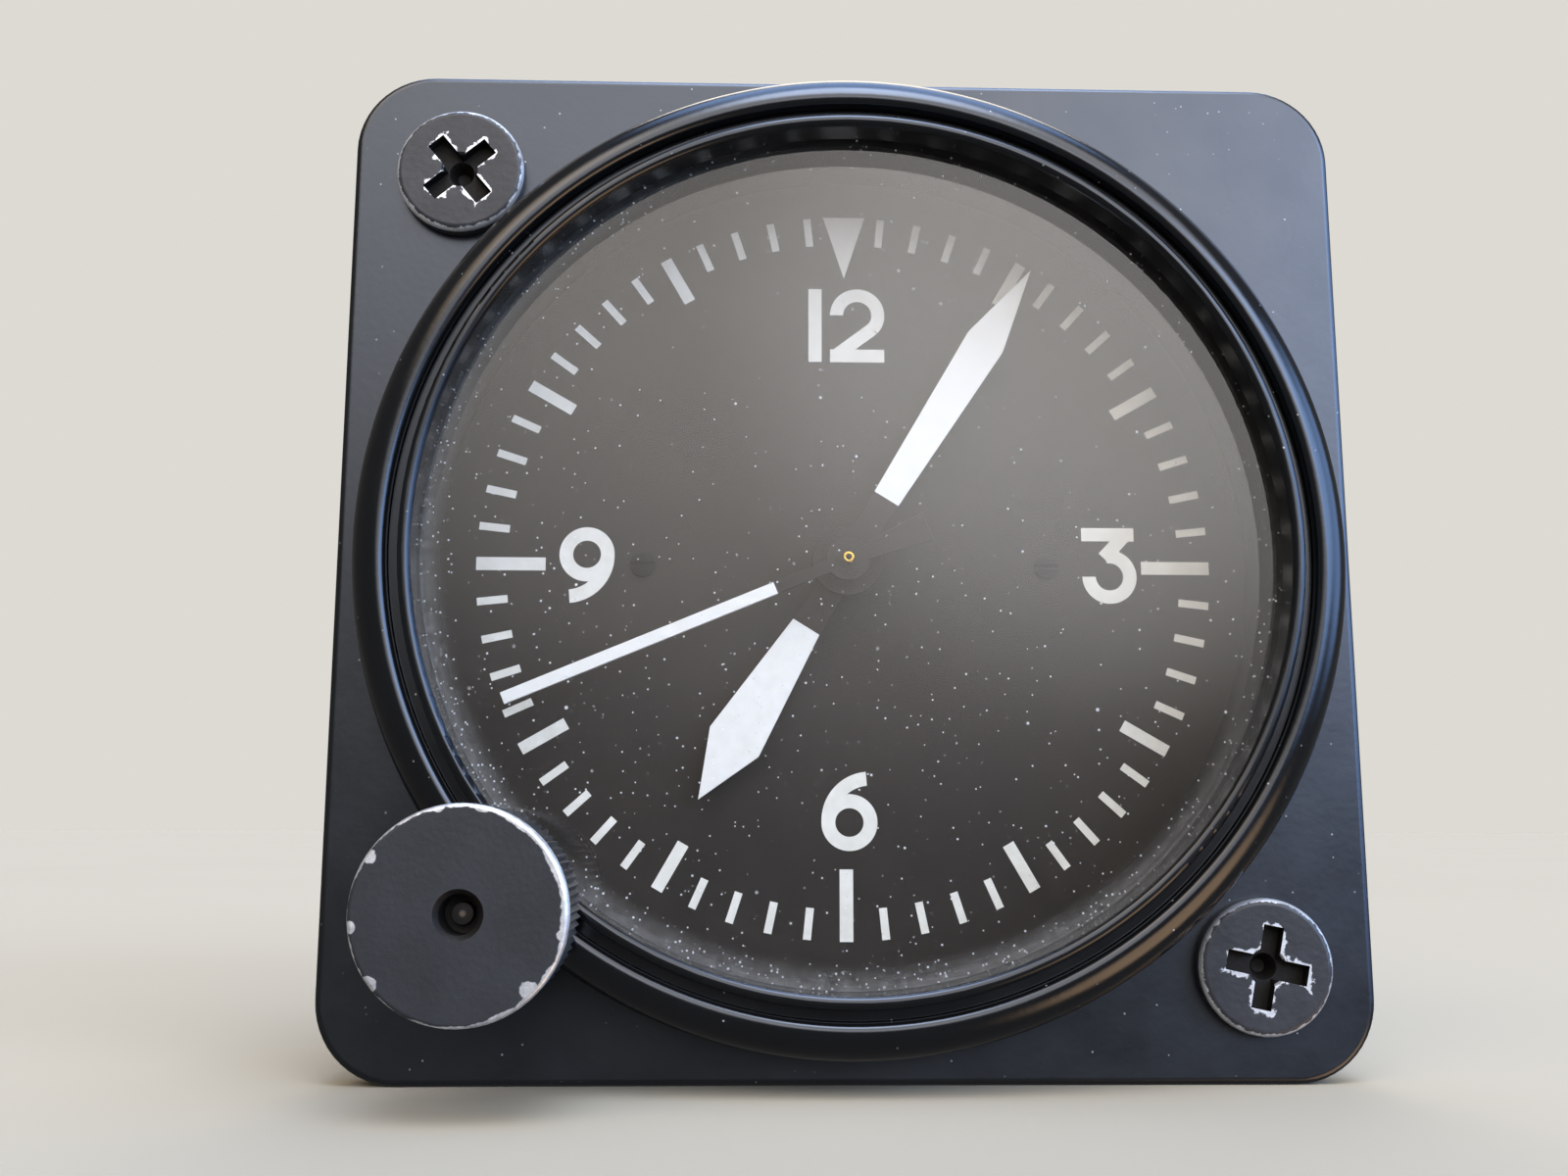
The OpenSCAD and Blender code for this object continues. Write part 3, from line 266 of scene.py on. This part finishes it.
def knocked_heads(name, paint, bare):
    """Black oxide screw heads, knocked bright in ragged flakes along the recess and round the rim."""
    material, tree, place = new_tree(name)
    axes = (SCREW_AXIS, [-c for c in SCREW_AXIS])
    arms = [from_cross(tree, place, axis, turn) for axis, turn in zip(axes, RECESS_TURNS)]
    rims = [from_axis(tree, place, axis) for axis in axes]
    arm = add(tree, "Math", {0: arms[0], 1: arms[1]}, operation="MINIMUM").outputs[0]
    off = add(tree, "Math", {0: rims[0], 1: rims[1]}, operation="MINIMUM").outputs[0]
    inset = add(tree, "Math", {0: HEAD_RADIUS * MM, 1: off}, operation="SUBTRACT").outputs[0]
    ragged = mottle(tree, place, 0.8, -ARM_RAGGED * MM, ARM_RAGGED * MM, 0.2, 4.0)
    near_arm = add(tree, "Math", {0: arm, 1: ragged}, operation="ADD").outputs[0]
    fine = mottle(tree, place, 0.5, -RIM_RAGGED * MM, RIM_RAGGED * MM, 0.2, 4.0)
    near_rim = add(tree, "Math", {0: inset, 1: fine}, operation="ADD").outputs[0]
    arm_border = {"Value": near_arm, "From Min": ARM_BARE[1] * MM, "From Max": ARM_BARE[0] * MM}
    rim_border = {"Value": near_rim, "From Min": RIM_BARE[1] * MM, "From Max": RIM_BARE[0] * MM}
    on_arm = add(tree, "MapRange", arm_border).outputs["Result"]
    on_rim = add(tree, "MapRange", rim_border).outputs["Result"]
    flakes = add(tree, "Math", {0: on_arm, 1: on_rim}, operation="MAXIMUM").outputs[0]
    black = tones(tree, place, 1.5, paint)
    colour = add(tree, "Mix", {0: flakes, 6: black, 7: linear(bare)}, data_type="RGBA").outputs[2]
    bright = add(tree, "Math", {0: flakes, 1: 0.7}, operation="MULTIPLY").outputs[0]
    dents = dimples(tree, place, 0.4, 0.02)
    finish = {"Base Color": colour, "Metallic": bright, "Roughness": 0.38, "Normal": dents}
    shader = add(tree, "BsdfPrincipled", finish)
    add(tree, "OutputMaterial", {"Surface": shader.outputs[0]})
    return material


def two_tone(name, colours, size_mm, rough, gloss=0.5):
    """Plain stuff that wanders between two near colours: print, rubber, grime with painted shade, oxide, the floor.
    """
    material, tree, place = new_tree(name)
    mixed = tones(tree, place, size_mm, colours)
    rubbed = mottle(tree, place, size_mm / 2, rough - 0.05, rough + 0.05)
    finish = {"Base Color": mixed, "Roughness": rubbed, "Specular IOR Level": gloss}
    shader = add(tree, "BsdfPrincipled", finish)
    add(tree, "OutputMaterial", {"Surface": shader.outputs[0]})
    return material


def hand_paint(name, turn, start_mm):
    """A hand: matt dark plate, with white fill from start_mm outwards along the way it points."""
    material, tree, place = new_tree(name)
    angle = math.radians(turn)
    way = (math.sin(angle), 0.0, math.cos(angle))
    along = add(tree, "VectorMath", {0: place, 1: way}, operation="DOT_PRODUCT").outputs["Value"]
    filled = add(tree, "Math", {0: along, 1: start_mm * MM}, operation="GREATER_THAN").outputs[0]
    dark = tones(tree, place, 0.8, ("#2b2623", "#25201e"))
    white = tones(tree, place, 0.8, ("#dad9d7", "#d2d1cd"))
    colour = add(tree, "Mix", {0: filled, 6: dark, 7: white}, data_type="RGBA").outputs[2]
    shader = add(tree, "BsdfPrincipled", {"Base Color": colour, "Roughness": 0.6, "Specular IOR Level": 0.1})
    add(tree, "OutputMaterial", {"Surface": shader.outputs[0]})
    return material


def dial_black(name):
    """Matt black dial paint gone faintly brown, with dust settled on it."""
    material, tree, place = new_tree(name)
    paint = tones(tree, place, 6.0, ("#28231f", "#221e1b"))
    dust = specks(tree, place, 2.9, 0.07, 0.6)
    dusty = add(tree, "Mix", {0: dust, 6: paint, 7: linear("#7d7872")}, data_type="RGBA").outputs[2]
    shader = add(tree, "BsdfPrincipled", {"Base Color": dusty, "Roughness": 0.6, "Specular IOR Level": 0.2})
    add(tree, "OutputMaterial", {"Surface": shader.outputs[0]})
    return material


def stem_end(name):
    """The stem's end deep in the knob: near-black with painted shade, and a small painted highlight at its centre.
    """
    material, tree, place = new_tree(name)
    off = from_axis(tree, place, KNOB_AXIS)
    fade = {"Value": off, "From Min": CENTRE_HIGHLIGHT[1] * MM, "From Max": CENTRE_HIGHLIGHT[0] * MM}
    centre_highlight = add(tree, "MapRange", fade).outputs["Result"]
    # Near-black painted shade, lighter towards the painted highlight at the centre
    colour = add(tree, "Mix", {0: centre_highlight, 6: linear("#171310"), 7: linear("#6a5e52")}, data_type="RGBA").outputs[2]
    shader = add(tree, "BsdfPrincipled", {"Base Color": colour, "Roughness": 0.6})
    add(tree, "OutputMaterial", {"Surface": shader.outputs[0]})
    return material


def dusty_glass(name):
    """Flat clock glass: clear, with dust specks that crowd together at the lower left and against the ring."""
    material, tree, place = new_tree(name)
    # Dust thins out towards the upper right
    along = add(tree, "VectorMath", {0: place, 1: (0.6, 0.0, 0.8)}, operation="DOT_PRODUCT").outputs["Value"]
    low = {"Value": along, "From Min": 20 * MM, "From Max": -14 * MM, "To Min": 0.25, "To Max": 1.0}
    bias = add(tree, "MapRange", low).outputs["Result"]
    off = from_axis(tree, place, (0, 0))
    ring = {"Value": off, "From Min": DUST_START * MM, "From Max": DUST_FULL * MM}
    edge = add(tree, "MapRange", ring, interpolation_type="SMOOTHSTEP").outputs["Result"]
    crowd = add(tree, "Math", {0: edge, 1: bias}, operation="MULTIPLY").outputs[0]
    patchy = mottle(tree, place, 0.5, 0.02, 0.1)
    dust = add(tree, "Math", {0: crowd, 1: patchy}, operation="MULTIPLY").outputs[0]
    # Grains: where they lie, the most cells that hold one, spacing and radius in millimetres
    for where, most, spacing, radius in (
        (crowd, 1.0, 0.33, 0.08),
        (bias, 0.8, 0.62, 0.065),
        (bias, 1.0, 0.9, 0.08),
        (bias, 1.0, 2.3, 0.13),
    ):
        share = add(tree, "Math", {0: where, 1: most}, operation="MULTIPLY").outputs[0]
        grain = specks(tree, place, spacing, radius, share)
        dust = add(tree, "Math", {0: dust, 1: grain}, operation="MAXIMUM").outputs[0]
    open_glass = add(tree, "MapRange", {"Value": dust, "To Min": 1.0, "To Max": 0.3}).outputs["Result"]
    colour = add(tree, "Mix", {0: dust, 6: linear("#ffffff"), 7: linear("#c9cfd6")}, data_type="RGBA").outputs[2]
    dull = add(tree, "Math", {0: dust, 1: 0.7}, operation="MULTIPLY").outputs[0]
    finish = {"Base Color": colour, "Roughness": dull, "IOR": 1.5, "Transmission Weight": open_glass}
    shader = add(tree, "BsdfPrincipled", finish)
    # Lets the room light the dial straight through the pane
    clear = add(tree, "BsdfTransparent", {"Color": linear("#f4f6f5")})
    shadow = add(tree, "LightPath", {}).outputs["Is Shadow Ray"]
    pane = add(tree, "MixShader", {0: shadow, 1: shader.outputs[0], 2: clear.outputs[0]})
    add(tree, "OutputMaterial", {"Surface": pane.outputs[0]})
    return material


# Enamel sprayed on the die-cast flange: deep black with a soft, faintly blue sheen
CASE_PAINT = enamel(
    "satin black enamel on die-cast alloy", ("#0f1012", "#0c0d0e"), 0.31, 0.9, 0.006, 0.95, "#dde8fc"
)
# The same enamel rubbed by hands: narrower, brighter highlights
RIM_PAINT = enamel("rubbed black enamel on the rim", ("#101113", "#0d0e0f"), 0.19, 0.5, 0.004, 0.64, "#e6efff")
# Enamel on a turned ring: smooth, with thin bright lines along the lip
RING_PAINT = enamel(
    "semi-gloss black enamel on turned alloy", ("#101112", "#0d0e0f"), 0.2, 0.5, 0.002, 0.57, "#e6efff"
)
# Enamel on the drawn can: duller and greyer, as it is never handled
CAN_PAINT = enamel("black enamel on drawn steel", ("#2a2c2f", "#242628"), 0.42, 0.1, 0.008, 0.6)
# Anodised alloy: a dull slate face, bright metal where the edge is worn
KNOB_PAINT = worn_knob("black anodised alloy, bright at the edge", ("#2e3035", "#27292e"), ("#f2f3f6", "#b9bcc2"))
# The knurl, anodised alike: its ribs catch a soft light
KNURL_PAINT = enamel("black anodised knurl", ("#24272d", "#1d1f24"), 0.38, 0.1, 0.004, 0.7)
# Black oxide: dark steel grey with an oily gloss, and bright flakes where drivers slipped
OXIDE = ("#34363c", "#2a2c31")
SCREW_PAINT = two_tone("black oxide steel", OXIDE, 1.5, 0.34)
SCREW_HEADS = knocked_heads("black oxide steel, knocked bright", OXIDE, "#e6e8ee")
# Old dirt and painted shade: dull brown-black painted into recesses so that they look deep
GRIME_AND_SHADE = two_tone("grime and painted shade in the recesses", ("#15110e", "#0a0908"), 0.5, 0.6, 0.3)
# Matt dial paint: flat, warm near-black
DIAL_PAINT = dial_black("matt black dial paint")
# Blackened steel: small dull discs, darker than the dial
DIAL_SCREW = two_tone("blackened dial screw", ("#0e0c0b", "#080707"), 0.5, 0.5, 0.15)
# Screen print: chalky white, a little yellowed
DIAL_PRINT = two_tone("white dial print", ("#d8d6d0", "#cbc8c0"), 0.9, 0.6)
# Turned steel end, near-black with painted shade deep in the knob's hole, and a painted highlight at its centre
STEM_END = stem_end("stem end darkened by painted shade")
# Float glass: clear, with pale dust that shows over the black dial
GLASS = dusty_glass("clock glass with dust")
# Moulded rubber: flat dark grey
RUBBER = two_tone("moulded rubber", ("#1c1c1c", "#242424"), 1.0, 0.8)
# Brass, turned, brushed and polished: warm yellow, from a broad sheen to sharp glints
BRIGHT_BRASS = metal("turned brass", ("#e3bd5a", "#d0a646"), 0.25)
PLATE_BRASS = metal("brushed brass plate", ("#c8a355", "#b8934a"), 0.35)
WHEEL_BRASS = metal("polished brass wheel", ("#d4b063", "#c6a256"), 0.22)
# Steel: cool grey glints, and blue on the springs
STEEL = metal("polished steel", ("#b4b7bb", "#a2a5aa"), 0.25)
SPRING_STEEL = metal("blued spring steel", ("#5c6878", "#4a5666"), 0.3)

SLOT_MATERIALS = {
    "case_paint": CASE_PAINT,
    "ring_paint": RING_PAINT,
    "clock_glass": GLASS,
    "gasket_rubber": RUBBER,
    "dial_paint": DIAL_PAINT,
    "blackened_steel": SCREW_PAINT,
    "knob_paint": KNOB_PAINT,
    "hand_paint": DIAL_PRINT,
    "bright_brass": BRIGHT_BRASS,
    "plate_brass": PLATE_BRASS,
    "wheel_brass": WHEEL_BRASS,
    "polished_steel": STEEL,
    "spring_steel": SPRING_STEEL,
}
SLOT_OF = {part["node"]: part["material_slot"] for part in frame["record"]["subparts"]}
BODY_OF = {node: body for body, nodes in frame["record"]["behaviour"]["bodies"].items() for node in nodes}
for node, slot in SLOT_OF.items():
    materials = frame["nodes"][node].data.materials
    materials.clear()
    materials.append(SLOT_MATERIALS[slot])


def finish_piece(bm, name, body, materials, replaced=()):
    """Turns a bmesh into a piece of the clock that rides on a body."""
    mesh = bpy.data.meshes.new(name)
    bm.to_mesh(mesh)
    bm.free()
    piece = bpy.data.objects.new(name, mesh)
    bpy.context.scene.collection.objects.link(piece)
    for material in materials:
        mesh.materials.append(material)
    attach(piece, body)
    if replaced:
        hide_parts(*replaced)
    return piece


def in_crest(spot):
    """Whether a point lies in front of the height from which the crest is turned anew."""
    return spot.y < -CREST_CUT * MM - WELD


def clear_crest(bm, knob_way, sides):
    """Takes the crest off the rim, apart from the stretch under the knob, and closes the casting again."""
    whole = [*bm.verts, *bm.edges, *bm.faces]
    bmesh.ops.bisect_plane(bm, geom=whole, dist=WELD, plane_co=at(0, 0, CREST_CUT), plane_no=(0, -1, 0))
    for side in sides:
        crest = [f for f in bm.faces if in_crest(f.calc_center_median())]
        edges = dict.fromkeys(e for f in crest for e in f.edges)
        verts = dict.fromkeys(v for f in crest for v in f.verts)
        bmesh.ops.bisect_plane(
            bm, geom=[*verts, *edges, *crest], dist=WELD, plane_co=(0, 0, 0), plane_no=side.cross((0, 1, 0))
        )
    old = []
    for face in bm.faces:
        spot = face.calc_center_median()
        flat = Vector((spot.x, 0, spot.z)).normalized()
        if in_crest(spot) and flat.dot(knob_way) < math.cos(CREST_KEPT):
            old.append(face)
    bmesh.ops.delete(bm, geom=old, context="FACES")
    rims = [e for e in bm.edges if e.is_boundary]
    seam = [e for e in rims if all(abs(v.co.y + CREST_CUT * MM) < 2 * WELD for v in e.verts)]
    bmesh.ops.bridge_loops(bm, edges=seam)
    bmesh.ops.edgeloop_fill(bm, edges=[e for e in bm.edges if e.is_boundary])


def crest_profile():
    """Section of the crest, from the bore to the outer wall: distance from the axis and height, in millimetres."""
    shoulder = (RIM_BORE + RIM_WALL - SHOULDER, RIM_CREST - SHOULDER)
    inner_off = RIM_BORE + CREST_ROUND
    reach = SHOULDER - CREST_ROUND
    inner_high = shoulder[1] + math.sqrt(reach**2 - (inner_off - shoulder[0]) ** 2)
    meet = math.atan2(inner_high - shoulder[1], inner_off - shoulder[0])
    end = math.asin((CREST_CUT - shoulder[1]) / SHOULDER)
    profile = [(RIM_BORE, CREST_CUT)]
    for centre, radius, start, stop, count in (
        ((inner_off, inner_high), CREST_ROUND, math.pi, meet, INNER_STEPS),
        (shoulder, SHOULDER, meet, end, SHOULDER_STEPS),
    ):
        turns = [start + (stop - start) * i / count for i in range(count + 1)]
        profile += [(centre[0] + radius * math.cos(t), centre[1] + radius * math.sin(t)) for t in turns]
    return profile


def turn_crest(bm):
    """Turns the front of the rim anew: a full round shoulder outside, and a small round at the bore's edge.

    Under the knob the casting keeps its own crest, which the stem's hole goes through.
    """
    knob_way = at(*KNOB_AXIS, 0).normalized()
    sides = [Matrix.Rotation(turn, 3, (0, -1, 0)) @ knob_way for turn in (CREST_KEPT, -CREST_KEPT)]
    clear_crest(bm, knob_way, sides)
    verts = [bm.verts.new(sides[0] * off * MM + at(0, 0, high)) for off, high in crest_profile()]
    bmesh.ops.remove_doubles(bm, verts=verts, dist=WELD)
    verts = [v for v in verts if v.is_valid]
    ring = [bm.edges.new((v, verts[i - 1])) for i, v in enumerate(verts)]
    spun = bmesh.ops.spin(
        bm, geom=[*verts, *ring], cent=(0, 0, 0), axis=(0, -1, 0), angle=2 * (math.pi - CREST_KEPT),
        steps=CREST_STEPS, use_merge=False, use_duplicate=False,
    )
    for ends in (ring, [e for e in spun["geom_last"] if isinstance(e, bmesh.types.BMEdge)]):
        bmesh.ops.edgeloop_fill(bm, edges=ends)
    bmesh.ops.recalc_face_normals(bm, faces=bm.faces)
    # The seams stay sharp, so that the crest is shaded on its own
    planes = [((0, -1, 0), CREST_CUT * MM)] + [(side.cross((0, 1, 0)), 0.0) for side in sides]
    for edge in bm.edges:
        high = all(v.co.y < -CREST_CUT * MM + WELD for v in edge.verts)
        for way, off in planes:
            if high and all(abs(v.co.dot(way) - off) < 2 * WELD for v in edge.verts):
                edge.smooth = False


def softened(node, width_mm, materials, pick=lambda high, off: 0, axis=(0, 0), reshape=lambda bm: None):
    """A copy of a CAD node with its sharp edges rounded.

    reshape then works on the copy. pick gives a face's material from its height and its distance off an axis, or off
    the opposite axis if that is nearer, in millimetres.
    """
    bm = bmesh.new()
    bm.from_mesh(frame["nodes"][node].data)
    bmesh.ops.remove_doubles(bm, verts=bm.verts, dist=WELD)
    bmesh.ops.dissolve_limit(bm, angle_limit=FLAT, verts=bm.verts, edges=bm.edges)
    sharp = [e for e in bm.edges if len(e.link_faces) == 2 and e.calc_face_angle() > SHARP]
    bmesh.ops.bevel(
        bm, geom=sharp, offset=width_mm * MM, offset_type="OFFSET", segments=2, profile=0.5,
        affect="EDGES", clamp_overlap=True, material=-1,
    )
    reshape(bm)
    for face in bm.faces:
        face.smooth = True
        spot = face.calc_center_median() / MM
        off = min(math.hypot(spot.x - s * axis[0], spot.z - s * axis[1]) for s in (1, -1))
        face.material_index = pick(-spot.y, off)
    piece = finish_piece(bm, node + "_finished", BODY_OF[node], materials, (node,))
    piece.modifiers.new("even shading", "WEIGHTED_NORMAL").keep_sharp = True


def case_face(high, off):
    """The flange and barrel, the rim above them, and the dull wall between the glass and the dial.

    The flange's two flat faces are left out of the wall, because their middle may lie near the axis.
    """
    between = DIAL_FACE - WALL_MARGIN < high < FLANGE_FRONT - WALL_MARGIN
    if off < DIAL_WALL and between and abs(high) > BACK_MARGIN:
        return 2
    return high > FLANGE_FRONT + RIM_FOOT


def screw_face(high, off):
    """Plain steel, the head's face, and grime with painted shade down in its recess."""
    if off < RECESS_REACH and FLANGE_FRONT - SCREW_DEEP < high < SCREW_TOP - SCREW_DIRT_AND_SHADE:
        return 2
    return high > SCREW_TOP - FACE_DEPTH


def knob_face(high, off):
    """The knurl, the face with its worn edge, and grime with painted shade down in the hole."""
    if off < KNOB_HOLE + HOLE_EDGE and high < KNOB_TOP - KNOB_DIRT_AND_SHADE:
        return 2
    return high > KNOB_TOP - FACE_DEPTH


softened("case_casting", 0.12, [CASE_PAINT, RIM_PAINT, DIAL_PAINT], case_face, reshape=turn_crest)
softened("retaining_ring", 0.08, [RING_PAINT])
softened("rear_can", 0.15, [CAN_PAINT])
softened("can_screws", 0.06, [STEEL])
softened("mounting_screws", 0.1, [SCREW_PAINT, SCREW_HEADS, GRIME_AND_SHADE], screw_face, SCREW_AXIS)
softened("knob", 0.05, [KNURL_PAINT, KNOB_PAINT, GRIME_AND_SHADE], knob_face, KNOB_AXIS)
softened("winding_stem", 0.03, [STEEL, STEM_END], lambda high, off: high > STEM_TOP - STEM_FACE)
softened("dial_screws", 0.06, [DIAL_SCREW])
softened("seconds_pipe", 0.03, [BRIGHT_BRASS])
# The arbor's end inside the seconds pipe gets the dark paint of grime with painted shade
softened("seconds_arbor", 0.02, [STEEL, GRIME_AND_SHADE], lambda high, off: high > ARBOR_END)
for hand, (turn, start) in HANDS.items():
    softened(hand, 0.03, [hand_paint("filled " + hand.replace("_", " "), turn, start)])

# Dial print: every mark is a thin film of paint on the dial's face. Strokes that cross lie in layers of their own,
# each a little thicker than the last
FILM, LAYER = 0.02, 0.001
ink = bmesh.new()


def raise_film(faces, layer):
    """Gives flat faces, drawn on the dial's face, the film's thickness."""
    made = bmesh.ops.extrude_face_region(ink, geom=faces)
    tops = [v for v in made["geom"] if isinstance(v, bmesh.types.BMVert)]
    bmesh.ops.translate(ink, verts=tops, vec=(0, -(FILM + LAYER * layer) * MM, 0))


def ink_bar(start, end, width, layer=0):
    """A straight stroke between two points of the dial, in millimetres."""
    a, b = (at(*point, DIAL_FACE) for point in (start, end))
    turn = Matrix.Rotation(math.atan2(b.z - a.z, b.x - a.x), 4, Vector((0, -1, 0)))
    flat = Matrix.Rotation(math.radians(90), 4, "X")
    size = Matrix.Diagonal(((b - a).length / 2, width * MM / 2, 1, 1))
    made = bmesh.ops.create_grid(
        ink, x_segments=1, y_segments=1, size=1, matrix=Matrix.Translation((a + b) / 2) @ turn @ flat @ size
    )
    raise_film(list(dict.fromkeys(f for v in made["verts"] for f in v.link_faces)), layer)


def ink_arc(centre, radius, width, start, sweep, layer=0):
    """A curved stroke: degrees from the right, anticlockwise as seen."""
    angle = math.radians(start)
    ends = [
        ink.verts.new(at(centre[0] + r * math.cos(angle), centre[1] + r * math.sin(angle), DIAL_FACE))
        for r in (radius - width / 2, radius + width / 2)
    ]
    edge = ink.edges.new(ends)
    before = set(ink.faces)
    bmesh.ops.spin(
        ink, geom=[*ends, edge], cent=at(*centre, DIAL_FACE), axis=(0, -1, 0), angle=math.radians(sweep),
        steps=max(8, int(abs(sweep) / 6)), use_merge=abs(sweep) >= 360, use_duplicate=False,
    )
    raise_film([f for f in ink.faces if f not in before], layer)


def around(turn, radius):
    """A point of the dial, from degrees clockwise from 12 and its distance from the centre."""
    angle = math.radians(turn)
    return radius * math.sin(angle), radius * math.cos(angle)


# Ticks: where they end outside, then length and width of each kind
TICK_OUT = 22.45
LONG_TICK, HOUR_TICK, MINUTE_TICK = (4.2, 0.8), (3.1, 0.73), (1.85, 0.47)
for minute in range(1, 60):
    length, width = LONG_TICK if minute % 15 == 0 else HOUR_TICK if minute % 5 == 0 else MINUTE_TICK
    ink_bar(around(minute * 6, TICK_OUT), around(minute * 6, TICK_OUT - length), width)
# The pointer at 12: half its width, and how far in its tip lies
POINTER_HALF, POINTER_TIP = 1.32, 18.4
pointer = ((-POINTER_HALF, TICK_OUT), (POINTER_HALF, TICK_OUT), (0, POINTER_TIP))
raise_film([ink.faces.new([ink.verts.new(at(*corner, DIAL_FACE)) for corner in pointer])], 0)

# Numbers: width of the strokes, and radii of the bowls and of the tails of 6 and 9
STROKE = 0.83
BOWL, TAIL = 1.26, 2.5
# 12, whose 2 has a head, a neck from the head's end, and a foot
HEAD_AT, HEAD, HEAD_END = (0.83, 16.0), 1.3, math.radians(-42)
neck = (HEAD_AT[0] + HEAD * math.cos(HEAD_END), HEAD_AT[1] + HEAD * math.sin(HEAD_END))
ink_bar((-1.82, 12.95), (-1.82, 17.7), STROKE)
ink_arc(HEAD_AT, HEAD, STROKE, 180, -222, 1)
ink_bar(neck, (-0.35, 13.5), STROKE, 2)
ink_bar((-0.88, 13.36), (2.52, 13.36), STROKE, 3)
# 3
ink_bar((14.6, 2.08), (17.85, 2.08), STROKE)
ink_bar((17.35, 2.1), (15.95, 0.62), STROKE, 1)
ink_arc((16.28, -0.55), BOWL, STROKE, 100, -280, 2)
# 6
ink_arc((0.2, -15.5), BOWL, STROKE, 0, 360)
ink_arc((1.44, -15.4), TAIL, STROKE, 180, -85, 1)
# 9
ink_arc((-15.75, 0.62), BOWL, STROKE, 0, 360)
ink_arc((-16.99, 0.52), TAIL, STROKE, 0, -85, 1)
bmesh.ops.recalc_face_normals(ink, faces=ink.faces)
finish_piece(ink, "dial_print", "case", [DIAL_PRINT])

# Floor at the flange's lower edge: its height in millimetres, and half its width in metres
FLOOR_HIGH, FLOOR_HALF = -30.16, 3.0
floor_bm = bmesh.new()
bmesh.ops.create_grid(floor_bm, x_segments=1, y_segments=1, size=FLOOR_HALF)
bmesh.ops.translate(floor_bm, verts=floor_bm.verts, vec=(0, 0, FLOOR_HIGH * MM))
floor_mesh = bpy.data.meshes.new("floor")
floor_bm.to_mesh(floor_mesh)
floor_bm.free()
floor_mesh.materials.append(two_tone("pale matt floor", ("#b9b2a2", "#b7b0a0"), 120.0, 0.8, 0.0))
floor = bpy.data.objects.new("floor", floor_mesh)
bpy.context.scene.collection.objects.link(floor)
# The glass and the paint mirror the room, and not the floor
floor.visible_glossy = False
floor.visible_transmission = False

world = bpy.data.worlds.new("room")
bpy.context.scene.world = world
world.use_nodes = True
sky = world.node_tree
sky.nodes.clear()
way = add(sky, "TexCoord", {}).outputs["Generated"]


def glow(colour, strength, *limits):
    """A soft-edged patch of light in the room, inside each limit.

    A limit is a direction, and the cosines of the angles from it where the patch starts and where it is full.
    """
    share = strength
    for towards, start, full in limits:
        middle = Vector(towards).normalized()
        facing = add(sky, "VectorMath", {0: way, 1: middle}, operation="DOT_PRODUCT").outputs["Value"]
        edge = {"Value": facing, "From Min": start, "From Max": full}
        inside = add(sky, "MapRange", edge, interpolation_type="SMOOTHSTEP").outputs["Result"]
        share = add(sky, "Math", {0: inside, 1: share}, operation="MULTIPLY").outputs[0]
    return add(sky, "Background", {"Color": linear(colour), "Strength": share}).outputs[0]


# A dim room with soft windows. Directions run to the right, away from the viewer, and up
lit = add(sky, "Background", {"Color": linear("#e4dfd8"), "Strength": 0.13}).outputs[0]
for patch in (
    # The broad window high in front of the dial, and its brightest part
    ("#f6f0ea", 2.6, ((0.14, -0.58, 0.80), 0.55, 0.88), ((0.1, -0.80, 0.60), 0.68, 0.86)),
    ("#f4f4f6", 1.2, ((0.25, -0.907, 0.337), 0.955, 0.995)),
    # Blue daylight at the right, in front and from the side
    ("#a2c2f0", 6.0, ((0.68, -0.66, 0.30), 0.91, 0.985)),
    ("#9cc2fb", 3.0, ((0.97, -0.15, 0.25), 0.92, 0.985)),
    # Daylight from above, straight down and along the rim's top
    ("#a9caff", 3.0, ((0.1, 0.1, 1.0), 0.88, 0.97)),
    ("#d4e4ff", 6.5, ((0.08, -0.38, 0.92), 0.955, 0.988)),
    # Warm light at the upper left, and low at the right
    ("#ffdcb0", 2.0, ((-0.47, -0.54, 0.70), 0.95, 0.99)),
    ("#ffcf9c", 2.6, ((0.67, -0.50, -0.556), 0.93, 0.985)),
):
    lit = add(sky, "AddShader", {0: lit, 1: glow(*patch)}).outputs[0]
# The camera sees a plain pale background in place of the room
seen = add(sky, "Background", {"Color": linear("#dddad3"), "Strength": 1.0})
camera_ray = add(sky, "LightPath", {}).outputs["Is Camera Ray"]
shown = add(sky, "MixShader", {0: camera_ray, 1: lit, 2: seen.outputs[0]})
add(sky, "OutputWorld", {"Surface": shown.outputs[0]})

# Soft light from behind for the views of the can
light = bpy.data.lights.new("soft light behind", "SUN")
light.angle = math.radians(50)
light.energy = 1.6
light.color = linear("#fff6ea")[:3]
behind = bpy.data.objects.new("soft light behind", light)
behind.rotation_euler = Vector((-0.1, -0.8, -0.55)).to_track_quat("-Z", "Y").to_euler()
bpy.context.scene.collection.objects.link(behind)

# Camera at the photograph's place and angle
view_camera = bpy.data.cameras.new("camera")
view_camera.sensor_width = 36.0
view_camera.lens = 34.19
view_camera.clip_start = 0.005
holder = bpy.data.objects.new("camera", view_camera)
holder.location = Vector((-6.387, -89.8, -15.612)) * MM
holder.rotation_euler = [math.radians(a) for a in (99.015, -0.123, -1.715)]
bpy.context.scene.collection.objects.link(holder)
bpy.context.scene.camera = holder
bpy.context.scene.view_settings.view_transform = "Standard"
